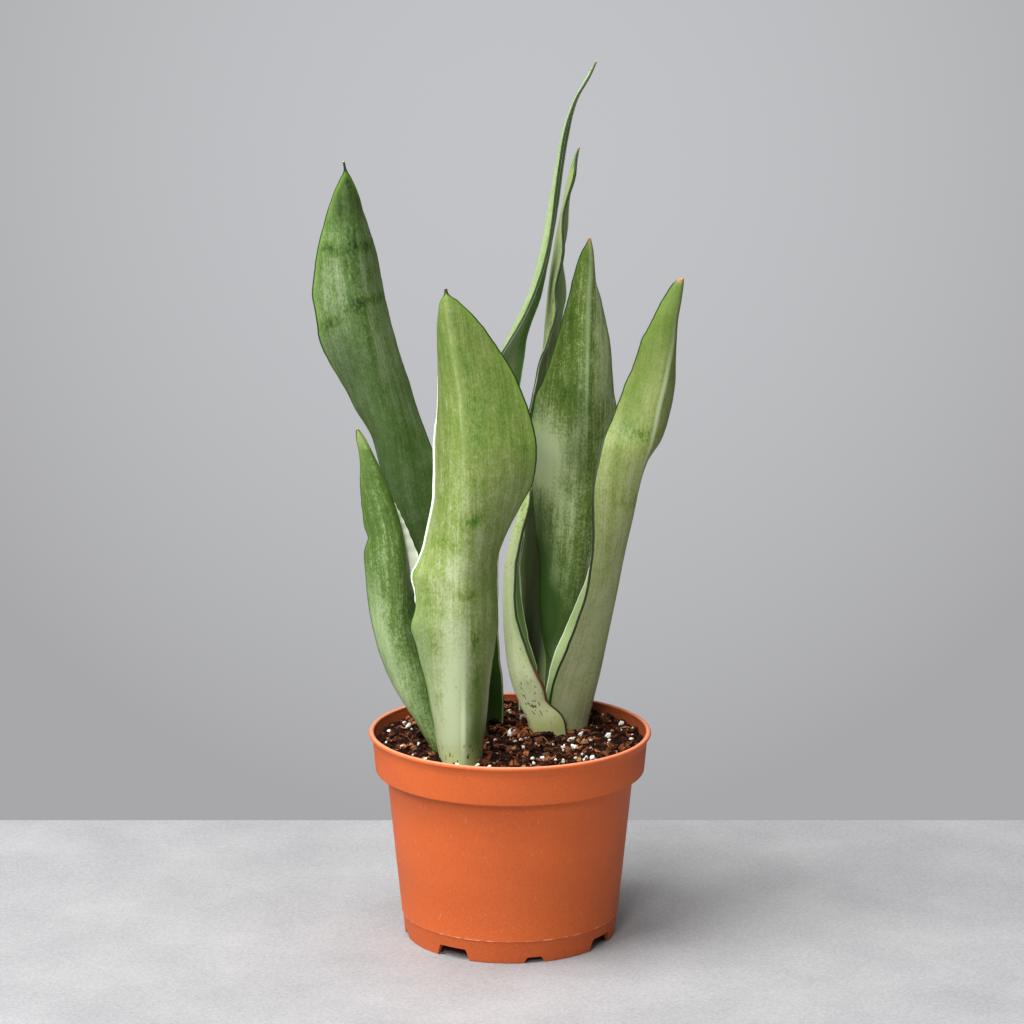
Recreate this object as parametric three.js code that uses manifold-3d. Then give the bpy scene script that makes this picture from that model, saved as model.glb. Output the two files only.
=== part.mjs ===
// A snake plant in a moulded nursery pot.
//
// Millimetres, +Z up. The pot stands on z = 0. Each leaf is one closed solid that rises from a slot in the
// soil: a keeled blade whose section folds, turns and widens along its height.

import * as THREE from 'three';
import { mergeVertices } from 'three/addons/utils/BufferGeometryUtils.js';
import Module from 'manifold-3d';

const wasm = await Module();
wasm.setup();

// ---------------------------------------------------------------- driving dimensions

const plantShift = 7.5; // puts the middle of the whole plant over the origin; the pot's axis is at this x
const clearance = 0.3; // between the soil and what it touches

const pot = {
  height: 126,
  lipRadius: 85,
  lipBead: 2.4, // radius of the rolled edge
  lipBlend: 8, // height over which the lip runs out into the band
  lipSteps: 6,
  bandTopRadius: 83,
  bandBottomRadius: 81.2,
  bandHeight: 24,
  bandRound: 1, // rounded lower corner of the band
  stepDrop: 1.6, // the step under the band slopes by this much
  bodyTopRadius: 74.6,
  footRadius: 64.6,
  skirtHeight: 14, // moulded line round the foot
  skirtStep: 0.5,
  skirtRise: 0.8, // height over which the line steps out
  wall: 1.7,
  floorHeight: 8, // underside of the floor, over the foot ring
  footWall: 3,
  footDraft: 1, // the inside of the foot ring leans by this much
  segments: 72,
};

const notches = {
  pairs: 4, // one wide and one small notch in each pair
  wideWidth: 23,
  wideHeight: 7,
  smallWidth: 14,
  smallHeight: 3.6,
  flare: 2.5, // a notch is wider at the table by this much on each side
  cutDepth: 14,
  cutStart: 3, // the cut begins this far outside the foot's outer face
  firstAngle: -32, // degrees from the front
};

const drain = { count: 8, radius: 4, ringRadius: 50, sides: 12 };

const soil = {
  level: 119.5,
  lump: 0.9, // height of the lumps
  mound: 2.5, // rise towards the middle
  tilt: 0.022, // rise per mm towards the back
  edgeDrop: 2, // the brim is shaped for the wall this far under the level
  slotTop: 12, // the leaf slots are cut up to this far over the level
  rings: 10,
  sectors: 48,
};

const blade = {
  rings: 26,
  crowding: 1.35, // how strongly the rings gather towards the tip
  perHalf: 4, // facets from keel to margin
  keelSharpness: 0.42, // 1 is a round channel, 0 a plain V
  margin: 1.3, // thickness of the edge
  bulge: 2.2, // how long the thickness stays full on the way to the edge
  fullWidth: 18, // a blade narrower than this gets thinner
  thinnest: 0.3,
  baseThickness: 1.25, // share of the leaf's thickness at its base
  topThickness: 0.85, // and at its tip
};

// One row for each height of a leaf's keel line, from the bottom up:
// [height, x, y, half width from keel to margin, turn, fold]
// x and y are from the pot's axis. At turn 0 the keel points to the front (-Y), and a positive turn swings
// it to the right. Fold is the angle between the two halves, bent back from the keel.
// A wave is [side (-1 left, 1 right), height, reach up and down, push outwards] of the margin.
// A ripple is [how far the margins sway, wavelength, phase in turns].
const leaves = {
  leaf_tall_left: {
    thickness: 3.4,
    ripple: [0.8, 74, 0.1],
    waves: [[-1, 378, 9, -1.2], [-1, 390, 7, 0.8], [1, 436, 4, -0.8]],
    rows: [
      [92, -28, 2, 17, -45, 100],
      [119, -32, 3, 20, -45, 98],
      [163, -40, 5, 23, -45, 95],
      [199, -49, 6, 26, -43, 94],
      [227, -56.5, 8, 28, -40, 94],
      [257, -64, 9, 29, -32, 94],
      [281, -68.5, 10, 29, -24, 94],
      [304, -71.5, 11, 28, -9.5, 105],
      [325, -76, 12, 29, 3.5, 99],
      [344, -80.5, 12, 30, 12, 92],
      [370, -87, 13, 30, 22, 76],
      [391, -90.5, 14, 29.5, 20, 82],
      [414, -93, 14, 24.5, 16, 86],
      [443, -95, 15, 13, 15, 95],
      [455, -96, 15, 5.2, 10, 90],
      [460, -96.5, 15, 1.3, 4, 80],
      [466, -97.5, 15, 0.6, 0, 60],
    ],
  },
  leaf_short_left: {
    thickness: 3.0,
    ripple: [0.7, 60, 0.4],
    waves: [[-1, 250, 5, -2.6], [-1, 236, 9, 1.0]],
    rows: [
      [92, -36, -25, 15, -45, 100],
      [119, -43, -28, 19, -45, 104],
      [130, -47.5, -28, 21, -30, 104],
      [150, -54.5, -28, 23, -9, 103],
      [174, -60, -27, 25, 5, 103],
      [191, -63.5, -27, 26, 9, 106],
      [204, -65, -27, 26.5, 12, 108],
      [226, -66, -27, 25.5, 17.5, 110],
      [256, -69.5, -26, 21, 22, 109],
      [285, -78, -24, 14, 20, 115],
      [300, -84, -22, 7.4, 12, 118],
      [308, -87.5, -21, 3.6, 8, 100],
      [313, -89.5, -20, 0.7, 5, 80],
    ],
  },
  leaf_front: {
    thickness: 3.6,
    ripple: [0.6, 66, 0.0],
    waves: [[-1, 198, 7, 2.2], [-1, 230, 6, 3.2], [-1, 212, 7, -1.0]],
    rows: [
      [92, -25, -50, 24, 6, 120],
      [119, -27.2, -56, 29, 6, 125],
      [147, -27.4, -57, 30.5, 6, 110],
      [161, -27.4, -57, 31, 8, 103],
      [186, -27.3, -57, 33, 12, 86],
      [202, -27.2, -57, 34, 13, 80],
      [219, -27.0, -56, 35, 12, 87],
      [231, -26.9, -55, 36, 11, 93],
      [247, -26.9, -54, 38.5, 1, 104],
      [268, -26.5, -53, 41, -12, 99],
      [289, -26.3, -51, 43.5, -24, 84],
      [305, -26.3, -50, 44, -26, 80],
      [319, -27, -48, 42.5, -26, 82],
      [339, -28.7, -46, 36.8, -25, 86],
      [360, -31.8, -45, 27.3, -23, 89],
      [378, -34.3, -44, 17, -20, 84],
      [391, -36, -43, 6.5, -12, 80],
      [394.5, -36.4, -42.5, 1.8, -6, 70],
      [398.5, -36.9, -42, 0.8, 0, 60],
    ],
  },
  leaf_tallest: {
    thickness: 2.6,
    ripple: [0.3, 50, 0.2],
    waves: [],
    rows: [
      [92, -13, 31, 11, -178, 60],
      [119, -15, 36, 12.5, -176, 62],
      [141, -16.5, 37, 14, -175, 60],
      [166, -20, 38, 14.5, -172, 56],
      [200, -22, 39, 15.5, -168, 54],
      [240, -21.5, 39, 16, -160, 50],
      [290, -15, 38, 17, -146, 46],
      [331, -9.5, 36, 17.5, -134, 44],
      [351, -3.2, 34, 17, -119, 42],
      [363, 2, 33, 15.5, -111, 38],
      [382, 10.6, 31, 12.6, -104, 43],
      [395, 14.8, 30, 11.2, -99, 48],
      [413, 18.8, 28, 10, -97, 58],
      [436, 22.9, 26, 8, -97, 68],
      [466, 28, 24, 5.8, -106, 70],
      [486, 32.2, 23, 4.4, -106, 72],
      [502, 38.2, 22, 2.7, -100, 64],
      [515, 45.6, 22, 3, -95, 54],
      [524, 50.7, 22, 0.7, -90, 50],
    ],
  },
  leaf_slim_back: {
    thickness: 2.6,
    ripple: [1.6, 44, 0.3],
    waves: [[1, 372, 6, 1.6], [1, 357, 5, -1.2]],
    rows: [
      [92, 13.5, 56, 8, -175, 64],
      [119, 13.5, 65, 10, -175, 64],
      [162, 13.5, 75, 14, -160, 60],
      [200, 13.5, 78, 16.5, -146, 58],
      [250, 14, 80, 17, -138, 56],
      [290, 17, 80, 16.5, -140, 56],
      [318, 20, 80, 16.5, -145, 56],
      [343, 22.6, 79, 15.5, -128, 58],
      [353, 22.5, 78, 14.5, -117, 60],
      [361, 22.6, 78, 13.5, -111, 64],
      [379, 23.8, 78, 12, -103, 80],
      [409, 27.5, 78, 9.2, -99, 78],
      [432, 31.8, 78, 5.2, -100, 76],
      [454, 36.6, 78, 5.6, -96, 70],
      [464, 39.6, 78, 2.8, -92, 60],
      [469.5, 42, 78, 0.7, -90, 50],
    ],
  },
  leaf_centre: {
    thickness: 3.4,
    ripple: [0.6, 70, 0.6],
    waves: [[1, 392, 5, -0.8]],
    rows: [
      [92, 33, 41, 13, 4, 72],
      [119, 34.5, 48, 16, 3, 76],
      [150, 34.5, 50, 20, -3, 98],
      [169, 36, 50, 24, 2, 92],
      [195, 39, 50, 28, 4, 88],
      [211, 40.6, 49, 30, 4, 88],
      [245, 43, 46, 34, 10, 78],
      [271, 44.5, 43, 36.5, 13, 76],
      [290, 45.2, 40, 37, 15, 72],
      [317, 45.6, 37, 34.5, 17, 82],
      [328, 45.8, 36, 31, 14, 84],
      [351, 46.2, 35, 24.5, 7.5, 90],
      [382, 46.9, 33, 14.5, 13, 94],
      [401, 48, 32, 10.6, 28, 118],
      [411, 48.1, 31, 6.4, 32, 117],
      [416.5, 47.6, 30.5, 2.4, 30, 100],
      [419.5, 47.1, 30, 0.7, 25, 80],
    ],
  },
  leaf_small: {
    thickness: 2.6,
    ripple: [0.2, 50, 0.0],
    waves: [[1, 134, 7, -4]],
    rows: [
      [92, 14, 4, 15, -38, 90],
      [119, 15.8, 4, 20, -36, 98],
      [128, 13.6, 4, 20.4, -44, 98],
      [140, 7.6, 5, 19, -64, 100],
      [155, 1.8, 6, 21, -85, 102],
      [177, -1.6, 7, 17.6, -94, 90],
      [201, -3, 8, 14, -98, 76],
      [221, -2.4, 8, 11.5, -97, 80],
      [231, -1.2, 8, 10.5, -96, 82],
      [247, 2.6, 8, 9, -92, 82],
      [264, 8.4, 8, 6.2, -84, 80],
      [273, 12.5, 8, 0.8, -80, 60],
    ],
  },
  leaf_right: {
    thickness: 3.2,
    ripple: [0.5, 64, 0.8],
    waves: [[1, 350, 6, 1.2], [1, 362, 5, -1.0], [1, 207, 30, -6.5]],
    rows: [
      [92, 42, 25, 22, 96, 120],
      [119, 45.5, 27, 27, 96, 126],
      [133, 48.4, 26.5, 31, 96, 128],
      [153, 53, 26, 33, 94, 118],
      [172, 56.9, 25.5, 33, 91, 96],
      [188, 60, 25, 32.7, 93, 87],
      [205, 63.4, 24, 32, 95, 82],
      [222, 66.3, 23.5, 31.2, 91, 80],
      [242, 70.4, 23, 31, 86, 85],
      [265, 75.3, 23, 31.6, 72, 83],
      [284, 79.4, 23, 29, 53, 78],
      [298, 84.4, 23, 28.6, 30, 91],
      [321, 89.2, 23, 26.5, 20, 100],
      [335, 92.4, 22, 24, 21, 107],
      [357, 96.3, 21, 20.6, 34, 120],
      [372, 97.6, 20, 13.8, 35, 121],
      [383, 99.8, 20, 9.8, 34, 121],
      [392, 101.5, 20, 5.6, 33, 110],
      [396.5, 102.2, 20, 1.6, 30, 90],
    ],
  },
};

const materials = {
  pot: new THREE.MeshStandardMaterial({ color: 0xc96335, roughness: 0.55, metalness: 0 }),
  soil: new THREE.MeshStandardMaterial({ color: 0x33211a, roughness: 0.95, metalness: 0 }),
  leaf: new THREE.MeshStandardMaterial({ color: 0x8aa56c, roughness: 0.45, metalness: 0 }),
};

const turns = (degrees) => THREE.MathUtils.degToRad(degrees);

// ---------------------------------------------------------------- solids and cuts

/** The manifold solid of a closed three.js geometry. */
function toSolid(geometry) {
  const bare = geometry.clone();
  bare.deleteAttribute('normal');
  bare.deleteAttribute('uv');
  const merged = mergeVertices(bare, 1e-4);
  return new wasm.Manifold(new wasm.Mesh({
    numProp: 3,
    vertProperties: Float32Array.from(merged.attributes.position.array),
    triVerts: Uint32Array.from(merged.index.array),
  }));
}

/** The three.js geometry of a manifold solid. */
function toGeometry(solid) {
  const mesh = solid.getMesh();
  const geometry = new THREE.BufferGeometry();
  geometry.setAttribute('position', new THREE.BufferAttribute(mesh.vertProperties, 3));
  geometry.setIndex(new THREE.BufferAttribute(mesh.triVerts, 1));
  return geometry;
}

/** A solid of revolution round the z axis, from [radius, height] points in order. */
function revolve(profile) {
  const points = profile.map(([radius, height]) => new THREE.Vector2(radius, height));
  return new THREE.LatheGeometry(points, pot.segments).rotateX(Math.PI / 2);
}

// ---------------------------------------------------------------- pot

const bandBottom = pot.height - pot.bandHeight;
const bodySlope = (pot.bodyTopRadius - pot.footRadius) / bandBottom;
const bodyRadius = (z) => pot.footRadius + bodySlope * z;
const shelfBottom = bandBottom - 0.5; // the step between body and band, seen from inside
const shelfTop = bandBottom + pot.wall;

/** Inside radius of the pot at a height above its floor. */
function innerRadius(z) {
  if (z < shelfTop) return bodyRadius(z) - pot.wall;
  const rise = (z - shelfTop) / (pot.height - shelfTop);
  return THREE.MathUtils.lerp(pot.bandBottomRadius, pot.bandTopRadius, rise) - pot.wall;
}

/** Points of the rolled lip, from where it leaves the band over the top to the inside. */
function lipPoints() {
  const centreRadius = pot.lipRadius - pot.lipBead;
  const centreHeight = pot.height - pot.lipBead;
  const blend = [0, 0.45, 0.75].map((share) => [
    THREE.MathUtils.lerp(pot.bandTopRadius - 0.5, pot.lipRadius - 0.1, share * share),
    pot.height - pot.lipBlend + share * (pot.lipBlend - pot.lipBead),
  ]);
  const bead = Array.from({ length: pot.lipSteps + 1 }, (_, i) => {
    const angle = turns((180 * i) / pot.lipSteps);
    return [centreRadius + pot.lipBead * Math.cos(angle), centreHeight + pot.lipBead * Math.sin(angle)];
  });
  return blend.concat(bead);
}

function potGeometry() {
  const floorTop = pot.floorHeight + pot.wall;
  const lipFoot = pot.height - 2 * pot.lipBead;
  const footInside = bodyRadius(0) - pot.footWall;
  const profile = [
    [0, pot.floorHeight],
    [footInside - pot.footDraft, pot.floorHeight],
    [footInside, 0],
    [bodyRadius(0) - pot.skirtStep, 0],
    [bodyRadius(pot.skirtHeight) - pot.skirtStep, pot.skirtHeight - pot.skirtRise / 2],
    [bodyRadius(pot.skirtHeight), pot.skirtHeight + pot.skirtRise / 2],
    [bodyRadius(bandBottom - pot.stepDrop), bandBottom - pot.stepDrop],
    [pot.bandBottomRadius - pot.bandRound, bandBottom - 0.4 * pot.bandRound],
    [pot.bandBottomRadius, bandBottom + pot.bandRound],
    ...lipPoints(),
    [innerRadius(lipFoot), lipFoot],
    [innerRadius(shelfTop), shelfTop],
    [innerRadius(shelfBottom), shelfBottom],
    [innerRadius(floorTop), floorTop],
    [0, floorTop],
  ];
  let body = toSolid(revolve(profile));
  for (const cutter of notchCutters().concat(drainCutters())) body = body.subtract(toSolid(cutter));
  return toGeometry(body);
}

/** Notches through the foot ring, wide and small by turns. */
function notchCutters() {
  const cutters = [];
  const depth = notches.cutDepth;
  for (let i = 0; i < 2 * notches.pairs; i += 1) {
    const wide = i % 2 === 0;
    const half = (wide ? notches.wideWidth : notches.smallWidth) / 2;
    const height = wide ? notches.wideHeight : notches.smallHeight;
    const outline = new THREE.Shape([
      new THREE.Vector2(-half, -1),
      new THREE.Vector2(half, -1),
      new THREE.Vector2(half - notches.flare, height),
      new THREE.Vector2(-half + notches.flare, height),
    ]);
    const cutter = new THREE.ExtrudeGeometry(outline, { depth, bevelEnabled: false });
    cutter.rotateX(Math.PI / 2);
    cutter.translate(0, -pot.footRadius + depth - notches.cutStart, 0);
    cutter.rotateZ(turns(notches.firstAngle + (i * 180) / notches.pairs));
    cutters.push(cutter);
  }
  return cutters;
}

/** Round drain holes through the floor. */
function drainCutters() {
  const depth = 4 * pot.wall;
  return Array.from({ length: drain.count }, (_, i) => {
    const angle = turns(notches.firstAngle) + (i * 2 * Math.PI) / drain.count;
    const cutter = new THREE.CylinderGeometry(drain.radius, drain.radius, depth, drain.sides);
    cutter.rotateX(Math.PI / 2);
    const reach = drain.ringRadius;
    return cutter.translate(reach * Math.sin(angle), -reach * Math.cos(angle), pot.floorHeight);
  });
}

// ---------------------------------------------------------------- leaves

/** Reads a leaf's rows at any height, on a smooth curve through them that runs on straight past its ends. */
function rowAt(rows, z) {
  const last = rows.length - 1;
  const tangent = (k, column) => {
    const before = rows[Math.max(k - 1, 0)];
    const after = rows[Math.min(k + 1, last)];
    return (after[column] - before[column]) / (after[0] - before[0]);
  };
  if (z <= rows[0][0] || z >= rows[last][0]) {
    const end = z <= rows[0][0] ? 0 : last;
    return rows[end].map((value, column) => value + (z - rows[end][0]) * (column ? tangent(end, column) : 1));
  }
  const i = rows.findIndex((row) => row[0] > z) - 1;
  const [low, high] = [rows[i], rows[i + 1]];
  const span = high[0] - low[0];
  const t = (z - low[0]) / span;
  const [t2, t3] = [t * t, t * t * t];
  return low.map((value, column) => {
    if (column === 0) return z;
    return (2 * t3 - 3 * t2 + 1) * value + (t3 - 2 * t2 + t) * span * tangent(i, column)
      + (3 * t2 - 2 * t3) * high[column] + (t3 - t2) * span * tangent(i + 1, column);
  });
}

/** Front and back points of a leaf's section at one height. */
function section(leaf, z, grow) {
  const [, x, y, half, turn, fold] = rowAt(leaf.rows, z);
  const step = 0.5;
  const [, x0, y0] = rowAt(leaf.rows, z - step);
  const [, x1, y1] = rowAt(leaf.rows, z + step);
  const along = new THREE.Vector3(x1 - x0, y1 - y0, 2 * step).normalize();
  const across = new THREE.Vector3(Math.cos(turns(turn)), Math.sin(turns(turn)), 0);
  across.addScaledVector(along, -across.dot(along)).normalize();
  const out = new THREE.Vector3().crossVectors(across, along);

  const [bottom, top] = [leaf.rows[0][0], leaf.rows.at(-1)[0]];
  const narrowing = Math.min(1, blade.thinnest + half / blade.fullWidth);
  const rise = THREE.MathUtils.lerp(blade.baseThickness, blade.topThickness, (z - bottom) / (top - bottom));
  const middle = leaf.thickness * narrowing * rise;
  const edge = Math.min(blade.margin, middle);
  const [sway, wavelength, phase] = leaf.ripple;

  const front = [];
  const back = [];
  for (const side of [-1, 1]) {
    let width = half + grow;
    for (const [waveSide, height, reach, push] of leaf.waves) {
      if (waveSide === side) width += push * Math.exp(-(((z - height) / reach) ** 2));
    }
    let aside = 0;
    let depth = 0;
    const rippled = sway * Math.min(1, half / 12) * Math.sin(2 * Math.PI * (z / wavelength + phase + side / 5));
    const slopeAt = (w) => turns(fold / 2) * (1 + blade.keelSharpness) * w ** blade.keelSharpness;
    for (let k = side < 0 ? 1 : 0; k <= blade.perHalf; k += 1) {
      const w = k / blade.perHalf;
      if (k > 0) {
        const slope = slopeAt(w - 0.5 / blade.perHalf);
        aside += (width / blade.perHalf) * Math.cos(slope);
        depth += (width / blade.perHalf) * Math.sin(slope);
      }
      const slope = side * slopeAt(w);
      const thick = edge + (middle - edge) * (1 - w ** blade.bulge) + 2 * grow;
      const point = new THREE.Vector3(x, y, z);
      point.addScaledVector(across, side * aside).addScaledVector(out, -depth + rippled * w * w);
      const normal = across.clone().multiplyScalar(Math.sin(slope)).addScaledVector(out, Math.cos(slope));
      const pair = [
        point.clone().addScaledVector(normal, thick / 2),
        point.clone().addScaledVector(normal, -thick / 2),
      ];
      if (side < 0) {
        front.unshift(pair[0]);
        back.unshift(pair[1]);
      } else {
        front.push(pair[0]);
        back.push(pair[1]);
      }
    }
  }
  return [front, back];
}

/** A leaf, or with grow and ceiling the lower part of it made larger all round, to cut its slot. */
function leafGeometry(leaf, grow = 0, ceiling = Infinity) {
  const bottom = leaf.rows[0][0];
  const top = leaf.rows.at(-1)[0];
  const heights = [];
  for (let i = 0; i <= blade.rings; i += 1) {
    const z = top - (top - bottom) * (1 - i / blade.rings) ** blade.crowding;
    heights.push(z);
    if (z > ceiling) break;
  }
  if (grow > 0) heights[0] -= grow;

  const count = 2 * blade.perHalf + 1;
  const positions = [];
  for (const z of heights) {
    for (const point of section(leaf, z, grow).flat()) positions.push(point.x, point.y, point.z);
  }
  const triangles = [];
  const quad = (a, b, c, d) => triangles.push(a, b, c, a, c, d);
  for (let ring = 0; ring < heights.length - 1; ring += 1) {
    const low = ring * 2 * count;
    const high = low + 2 * count;
    for (let k = 0; k < count - 1; k += 1) {
      quad(low + k, low + k + 1, high + k + 1, high + k);
      const behind = count + k;
      triangles.push(low + behind, high + behind + 1, low + behind + 1);
      triangles.push(low + behind, high + behind, high + behind + 1);
    }
    quad(low, high, high + count, low + count);
    quad(low + count - 1, low + 2 * count - 1, high + 2 * count - 1, high + count - 1);
  }
  const last = (heights.length - 1) * 2 * count;
  for (let k = 0; k < count - 1; k += 1) {
    quad(k, count + k, count + k + 1, k + 1);
    quad(last + k, last + k + 1, last + count + k + 1, last + count + k);
  }
  const geometry = new THREE.BufferGeometry();
  geometry.setAttribute('position', new THREE.Float32BufferAttribute(positions, 3));
  geometry.setIndex(triangles);
  return geometry;
}

// ---------------------------------------------------------------- soil

/** Height of the soil's lumpy top. */
function soilHeight(x, y) {
  const reach = Math.hypot(x, y) / innerRadius(soil.level);
  const mound = soil.mound * (1 - reach * reach) - soil.mound / 2;
  const lumps = Math.sin(x * 0.31 + 1.7) * Math.cos(y * 0.27 - 0.6)
    + 0.6 * Math.sin(x * 0.53 - y * 0.41 + 0.9) + 0.4 * Math.cos(x * 0.72 + y * 0.66);
  return soil.level + mound + soil.tilt * y + soil.lump * lumps;
}

function soilGeometry() {
  const floorTop = pot.floorHeight + pot.wall + clearance;
  const radiusAt = (z) => innerRadius(z) - clearance;
  const wallHeights = [floorTop, shelfBottom + clearance / 2, shelfTop + 2 * clearance];
  const wallRings = wallHeights.map((z) => [radiusAt(z), z]);
  const positions = [0, 0, floorTop];
  const ringStart = [];
  const addRing = (radius, heightOf) => {
    ringStart.push(positions.length / 3);
    for (let s = 0; s < soil.sectors; s += 1) {
      const angle = (s / soil.sectors) * 2 * Math.PI;
      const [x, y] = [radius * Math.cos(angle), radius * Math.sin(angle)];
      positions.push(x, y, heightOf(x, y));
    }
  };
  for (const [radius, z] of wallRings) addRing(radius, () => z);
  const brim = radiusAt(soil.level - soil.edgeDrop);
  for (let r = soil.rings; r > 0; r -= 1) addRing((brim * r) / soil.rings, soilHeight);
  const crown = positions.length / 3;
  positions.push(0, 0, soilHeight(0, 0));

  const triangles = [];
  const next = (s) => (s + 1) % soil.sectors;
  for (let s = 0; s < soil.sectors; s += 1) {
    triangles.push(0, ringStart[0] + next(s), ringStart[0] + s);
    for (let r = 0; r < ringStart.length - 1; r += 1) {
      const [a, b] = [ringStart[r], ringStart[r + 1]];
      triangles.push(a + s, a + next(s), b + next(s), a + s, b + next(s), b + s);
    }
    const inner = ringStart.at(-1);
    triangles.push(inner + s, inner + next(s), crown);
  }
  const plug = new THREE.BufferGeometry();
  plug.setAttribute('position', new THREE.Float32BufferAttribute(positions, 3));
  plug.setIndex(triangles);

  let body = toSolid(plug);
  const ceiling = soil.level + soil.slotTop;
  for (const leaf of Object.values(leaves)) {
    body = body.subtract(toSolid(leafGeometry(leaf, clearance, ceiling)));
  }
  return toGeometry(body);
}

// ---------------------------------------------------------------- the plant

const plant = new THREE.Group();
plant.position.x = plantShift;

function addPart(name, geometry, material) {
  const mesh = new THREE.Mesh(geometry, material);
  mesh.name = name;
  plant.add(mesh);
}

addPart('pot', potGeometry(), materials.pot);
addPart('soil', soilGeometry(), materials.soil);
for (const [name, leaf] of Object.entries(leaves)) addPart(name, leafGeometry(leaf), materials.leaf);

const object = new THREE.Group();
object.add(plant);

export default object;
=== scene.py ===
# A potted snake plant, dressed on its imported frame: finer leaves, pot and potting mix, and their finishes.
import math
import random
from itertools import combinations

import bpy
from bpy.props import FloatProperty, FloatVectorProperty, IntProperty, PointerProperty
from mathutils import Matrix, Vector, noise


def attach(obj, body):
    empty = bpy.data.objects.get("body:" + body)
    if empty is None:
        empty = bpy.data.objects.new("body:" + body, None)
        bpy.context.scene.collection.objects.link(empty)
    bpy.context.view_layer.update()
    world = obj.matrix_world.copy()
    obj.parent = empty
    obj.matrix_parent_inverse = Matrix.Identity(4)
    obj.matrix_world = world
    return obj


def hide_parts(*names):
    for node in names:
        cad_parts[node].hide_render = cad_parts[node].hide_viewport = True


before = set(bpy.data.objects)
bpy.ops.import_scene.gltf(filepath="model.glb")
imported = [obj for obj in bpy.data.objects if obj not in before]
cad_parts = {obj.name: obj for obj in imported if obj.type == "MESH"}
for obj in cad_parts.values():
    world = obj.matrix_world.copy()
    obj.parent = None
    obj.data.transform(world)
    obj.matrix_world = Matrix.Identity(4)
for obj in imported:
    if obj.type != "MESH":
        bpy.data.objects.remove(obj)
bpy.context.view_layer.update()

bl_info = {
    "name": "Potted snake plant",
    "version": (1, 0, 0),
    "blender": (4, 5, 0),
    "location": "3D View > Sidebar > Plant",
    "description": "Builds a keeled snake plant in a moulded nursery pot",
    "category": "Object",
}

MM = 0.001
BODY = "root"
POT_AXIS_X = 7.5  # mm: the pot stands a little right of the middle of the whole plant

# ---------------------------------------------------------------- pot and mix sizes, in millimetres

POT_HEIGHT = 126
LIP_RADIUS = 85
LIP_BEAD = 1.6
LIP_BLEND = 8
BAND_TOP_RADIUS = 83
BAND_BOTTOM_RADIUS = 81.2
BAND_BOTTOM = 102
BAND_ROUND = 1
BAND_DRAFT = (BAND_TOP_RADIUS - BAND_BOTTOM_RADIUS) / (POT_HEIGHT - BAND_BOTTOM)
STEP_DROP = 1.6
BODY_TOP_RADIUS = 74.6
FOOT_RADIUS = 64.6
SKIRT_HEIGHT = 14
SKIRT_STEP = 0.5
WALL = 1.7
FLOOR_HEIGHT = 8
FOOT_WALL = 3
FOOT_DRAFT = 1
SHELF_BOTTOM = BAND_BOTTOM - 0.5
SHELF_TOP = BAND_BOTTOM + WALL
BODY_SLOPE = (BODY_TOP_RADIUS - FOOT_RADIUS) / BAND_BOTTOM
POT_SEGMENTS = 288

NOTCH_PAIRS = 4
NOTCH_SIZES = ((23, 7), (14, 3.6))  # width at the table and height, by turns
NOTCH_FLARE = 2.5
NOTCH_CUT = (3, 14)  # starts outside the foot, and depth
NOTCH_FIRST = -32  # degrees from the front
DRAIN_COUNT = 8
DRAIN_RADIUS = 4
DRAIN_RING = 50
DRAIN_SIDES = 24

MIX_LEVEL = 119.5
MIX_MOUND = 2.5
MIX_TILT = 0.022
MIX_LUMP = 0.9
MIX_HOLLOW = 2.2
MIX_CRUMB = 1.2
MIX_CLEARANCE = 0.3
MIX_BRIM_DROP = 2
MIX_FOOT_ROUND = 4.4
MIX_SECTORS = 200
MIX_RINGS = 54

# Loose matter: seed, room left by the leaves and by the wall, form, whether smooth, and finish. A form is its
# least and most size, fineness, roughness, how high it sits and how flat; bark has none, being chips. A finish
# is the material, its colours from the darkest piece to the palest, roughness, grain in mm and its depth.
LOOSE_MATTER = {
    # Crumbled peat, dried on top: matt and rough, dark brown with a few tan crumbs.
    "peat_crumbs": (5, 0.2, 2.5, ((0.5, 2.8), 1, 0.9, 0.15, (0.5, 0.8)), False, (
        "dry_peat_crumb", ((0, "#0C0503"), (0.5, "#2E160B"), (0.85, "#6A3C22"), (1, "#B07E54")), 0.85, 0.8, 0.4)),
    # Pine bark split along its fibres: rusty flakes, paler where they broke.
    "bark_chips": (17, 1.5, 4.5, None, False, (
        "split_pine_bark", ((0, "#1C0C06"), (0.4, "#4A2012"), (0.75, "#82401F"), (1, "#B8784C")), 0.7, 1.0, 0.3)),
    # Perlite popped by heat: chalk white and porous, without gloss.
    "perlite_grains": (29, 1.5, 4, ((0.8, 1.9), 2, 0.45, 0.6, (0.75, 1.0)), True, (
        "expanded_perlite", ((0, "#C9BBA8"), (0.15, "#E9E4DA"), (1, "#FBFAF6")), 0.8, 0.9, 0.25)),
}
ROOT_SEED = 43
# Dead roots dried in the air: papery, tan to rust.
ROOT_FINISH = ("dry_root", ((0, "#5A2814"), (0.5, "#8E4A28"), (1, "#C0845A")), 0.7, 1.0, 0.1)
THICK_ROOTS = (  # x, y, lean, height, radius
    (6, 10, 3, 12, 0.6), (5, 8, -9, 6, 0.7), (2, -6, 14, 5, 0.8), (0, 2, -12, 6, 0.7), (11, -2, 10, 5, 0.7))
HUSK_PLACE = (6, -4)
HUSK_SCALES = 7
BALL_EDGE = 1.1  # a little over the edge of a ball's twenty first triangles

# ---------------------------------------------------------------- stage, in metres and degrees, its lens in mm

TABLE_REACH = 3.0
TABLE_BACK = 0.22
LIT_PLACE = (0, 0, 0.2)
GLOW_DROP = 0.08  # radians from level down to the middle of the wall's glow
CAMERA_PLACE = (POT_AXIS_X * MM, -1.748, 0.612)
CAMERA_TILT = 11.41
SENSOR_WIDTH = 36
LENS = 3000 / 1024 * SENSOR_WIDTH
SHIFT = 2 / 1024

# ---------------------------------------------------------------- leaves

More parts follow.
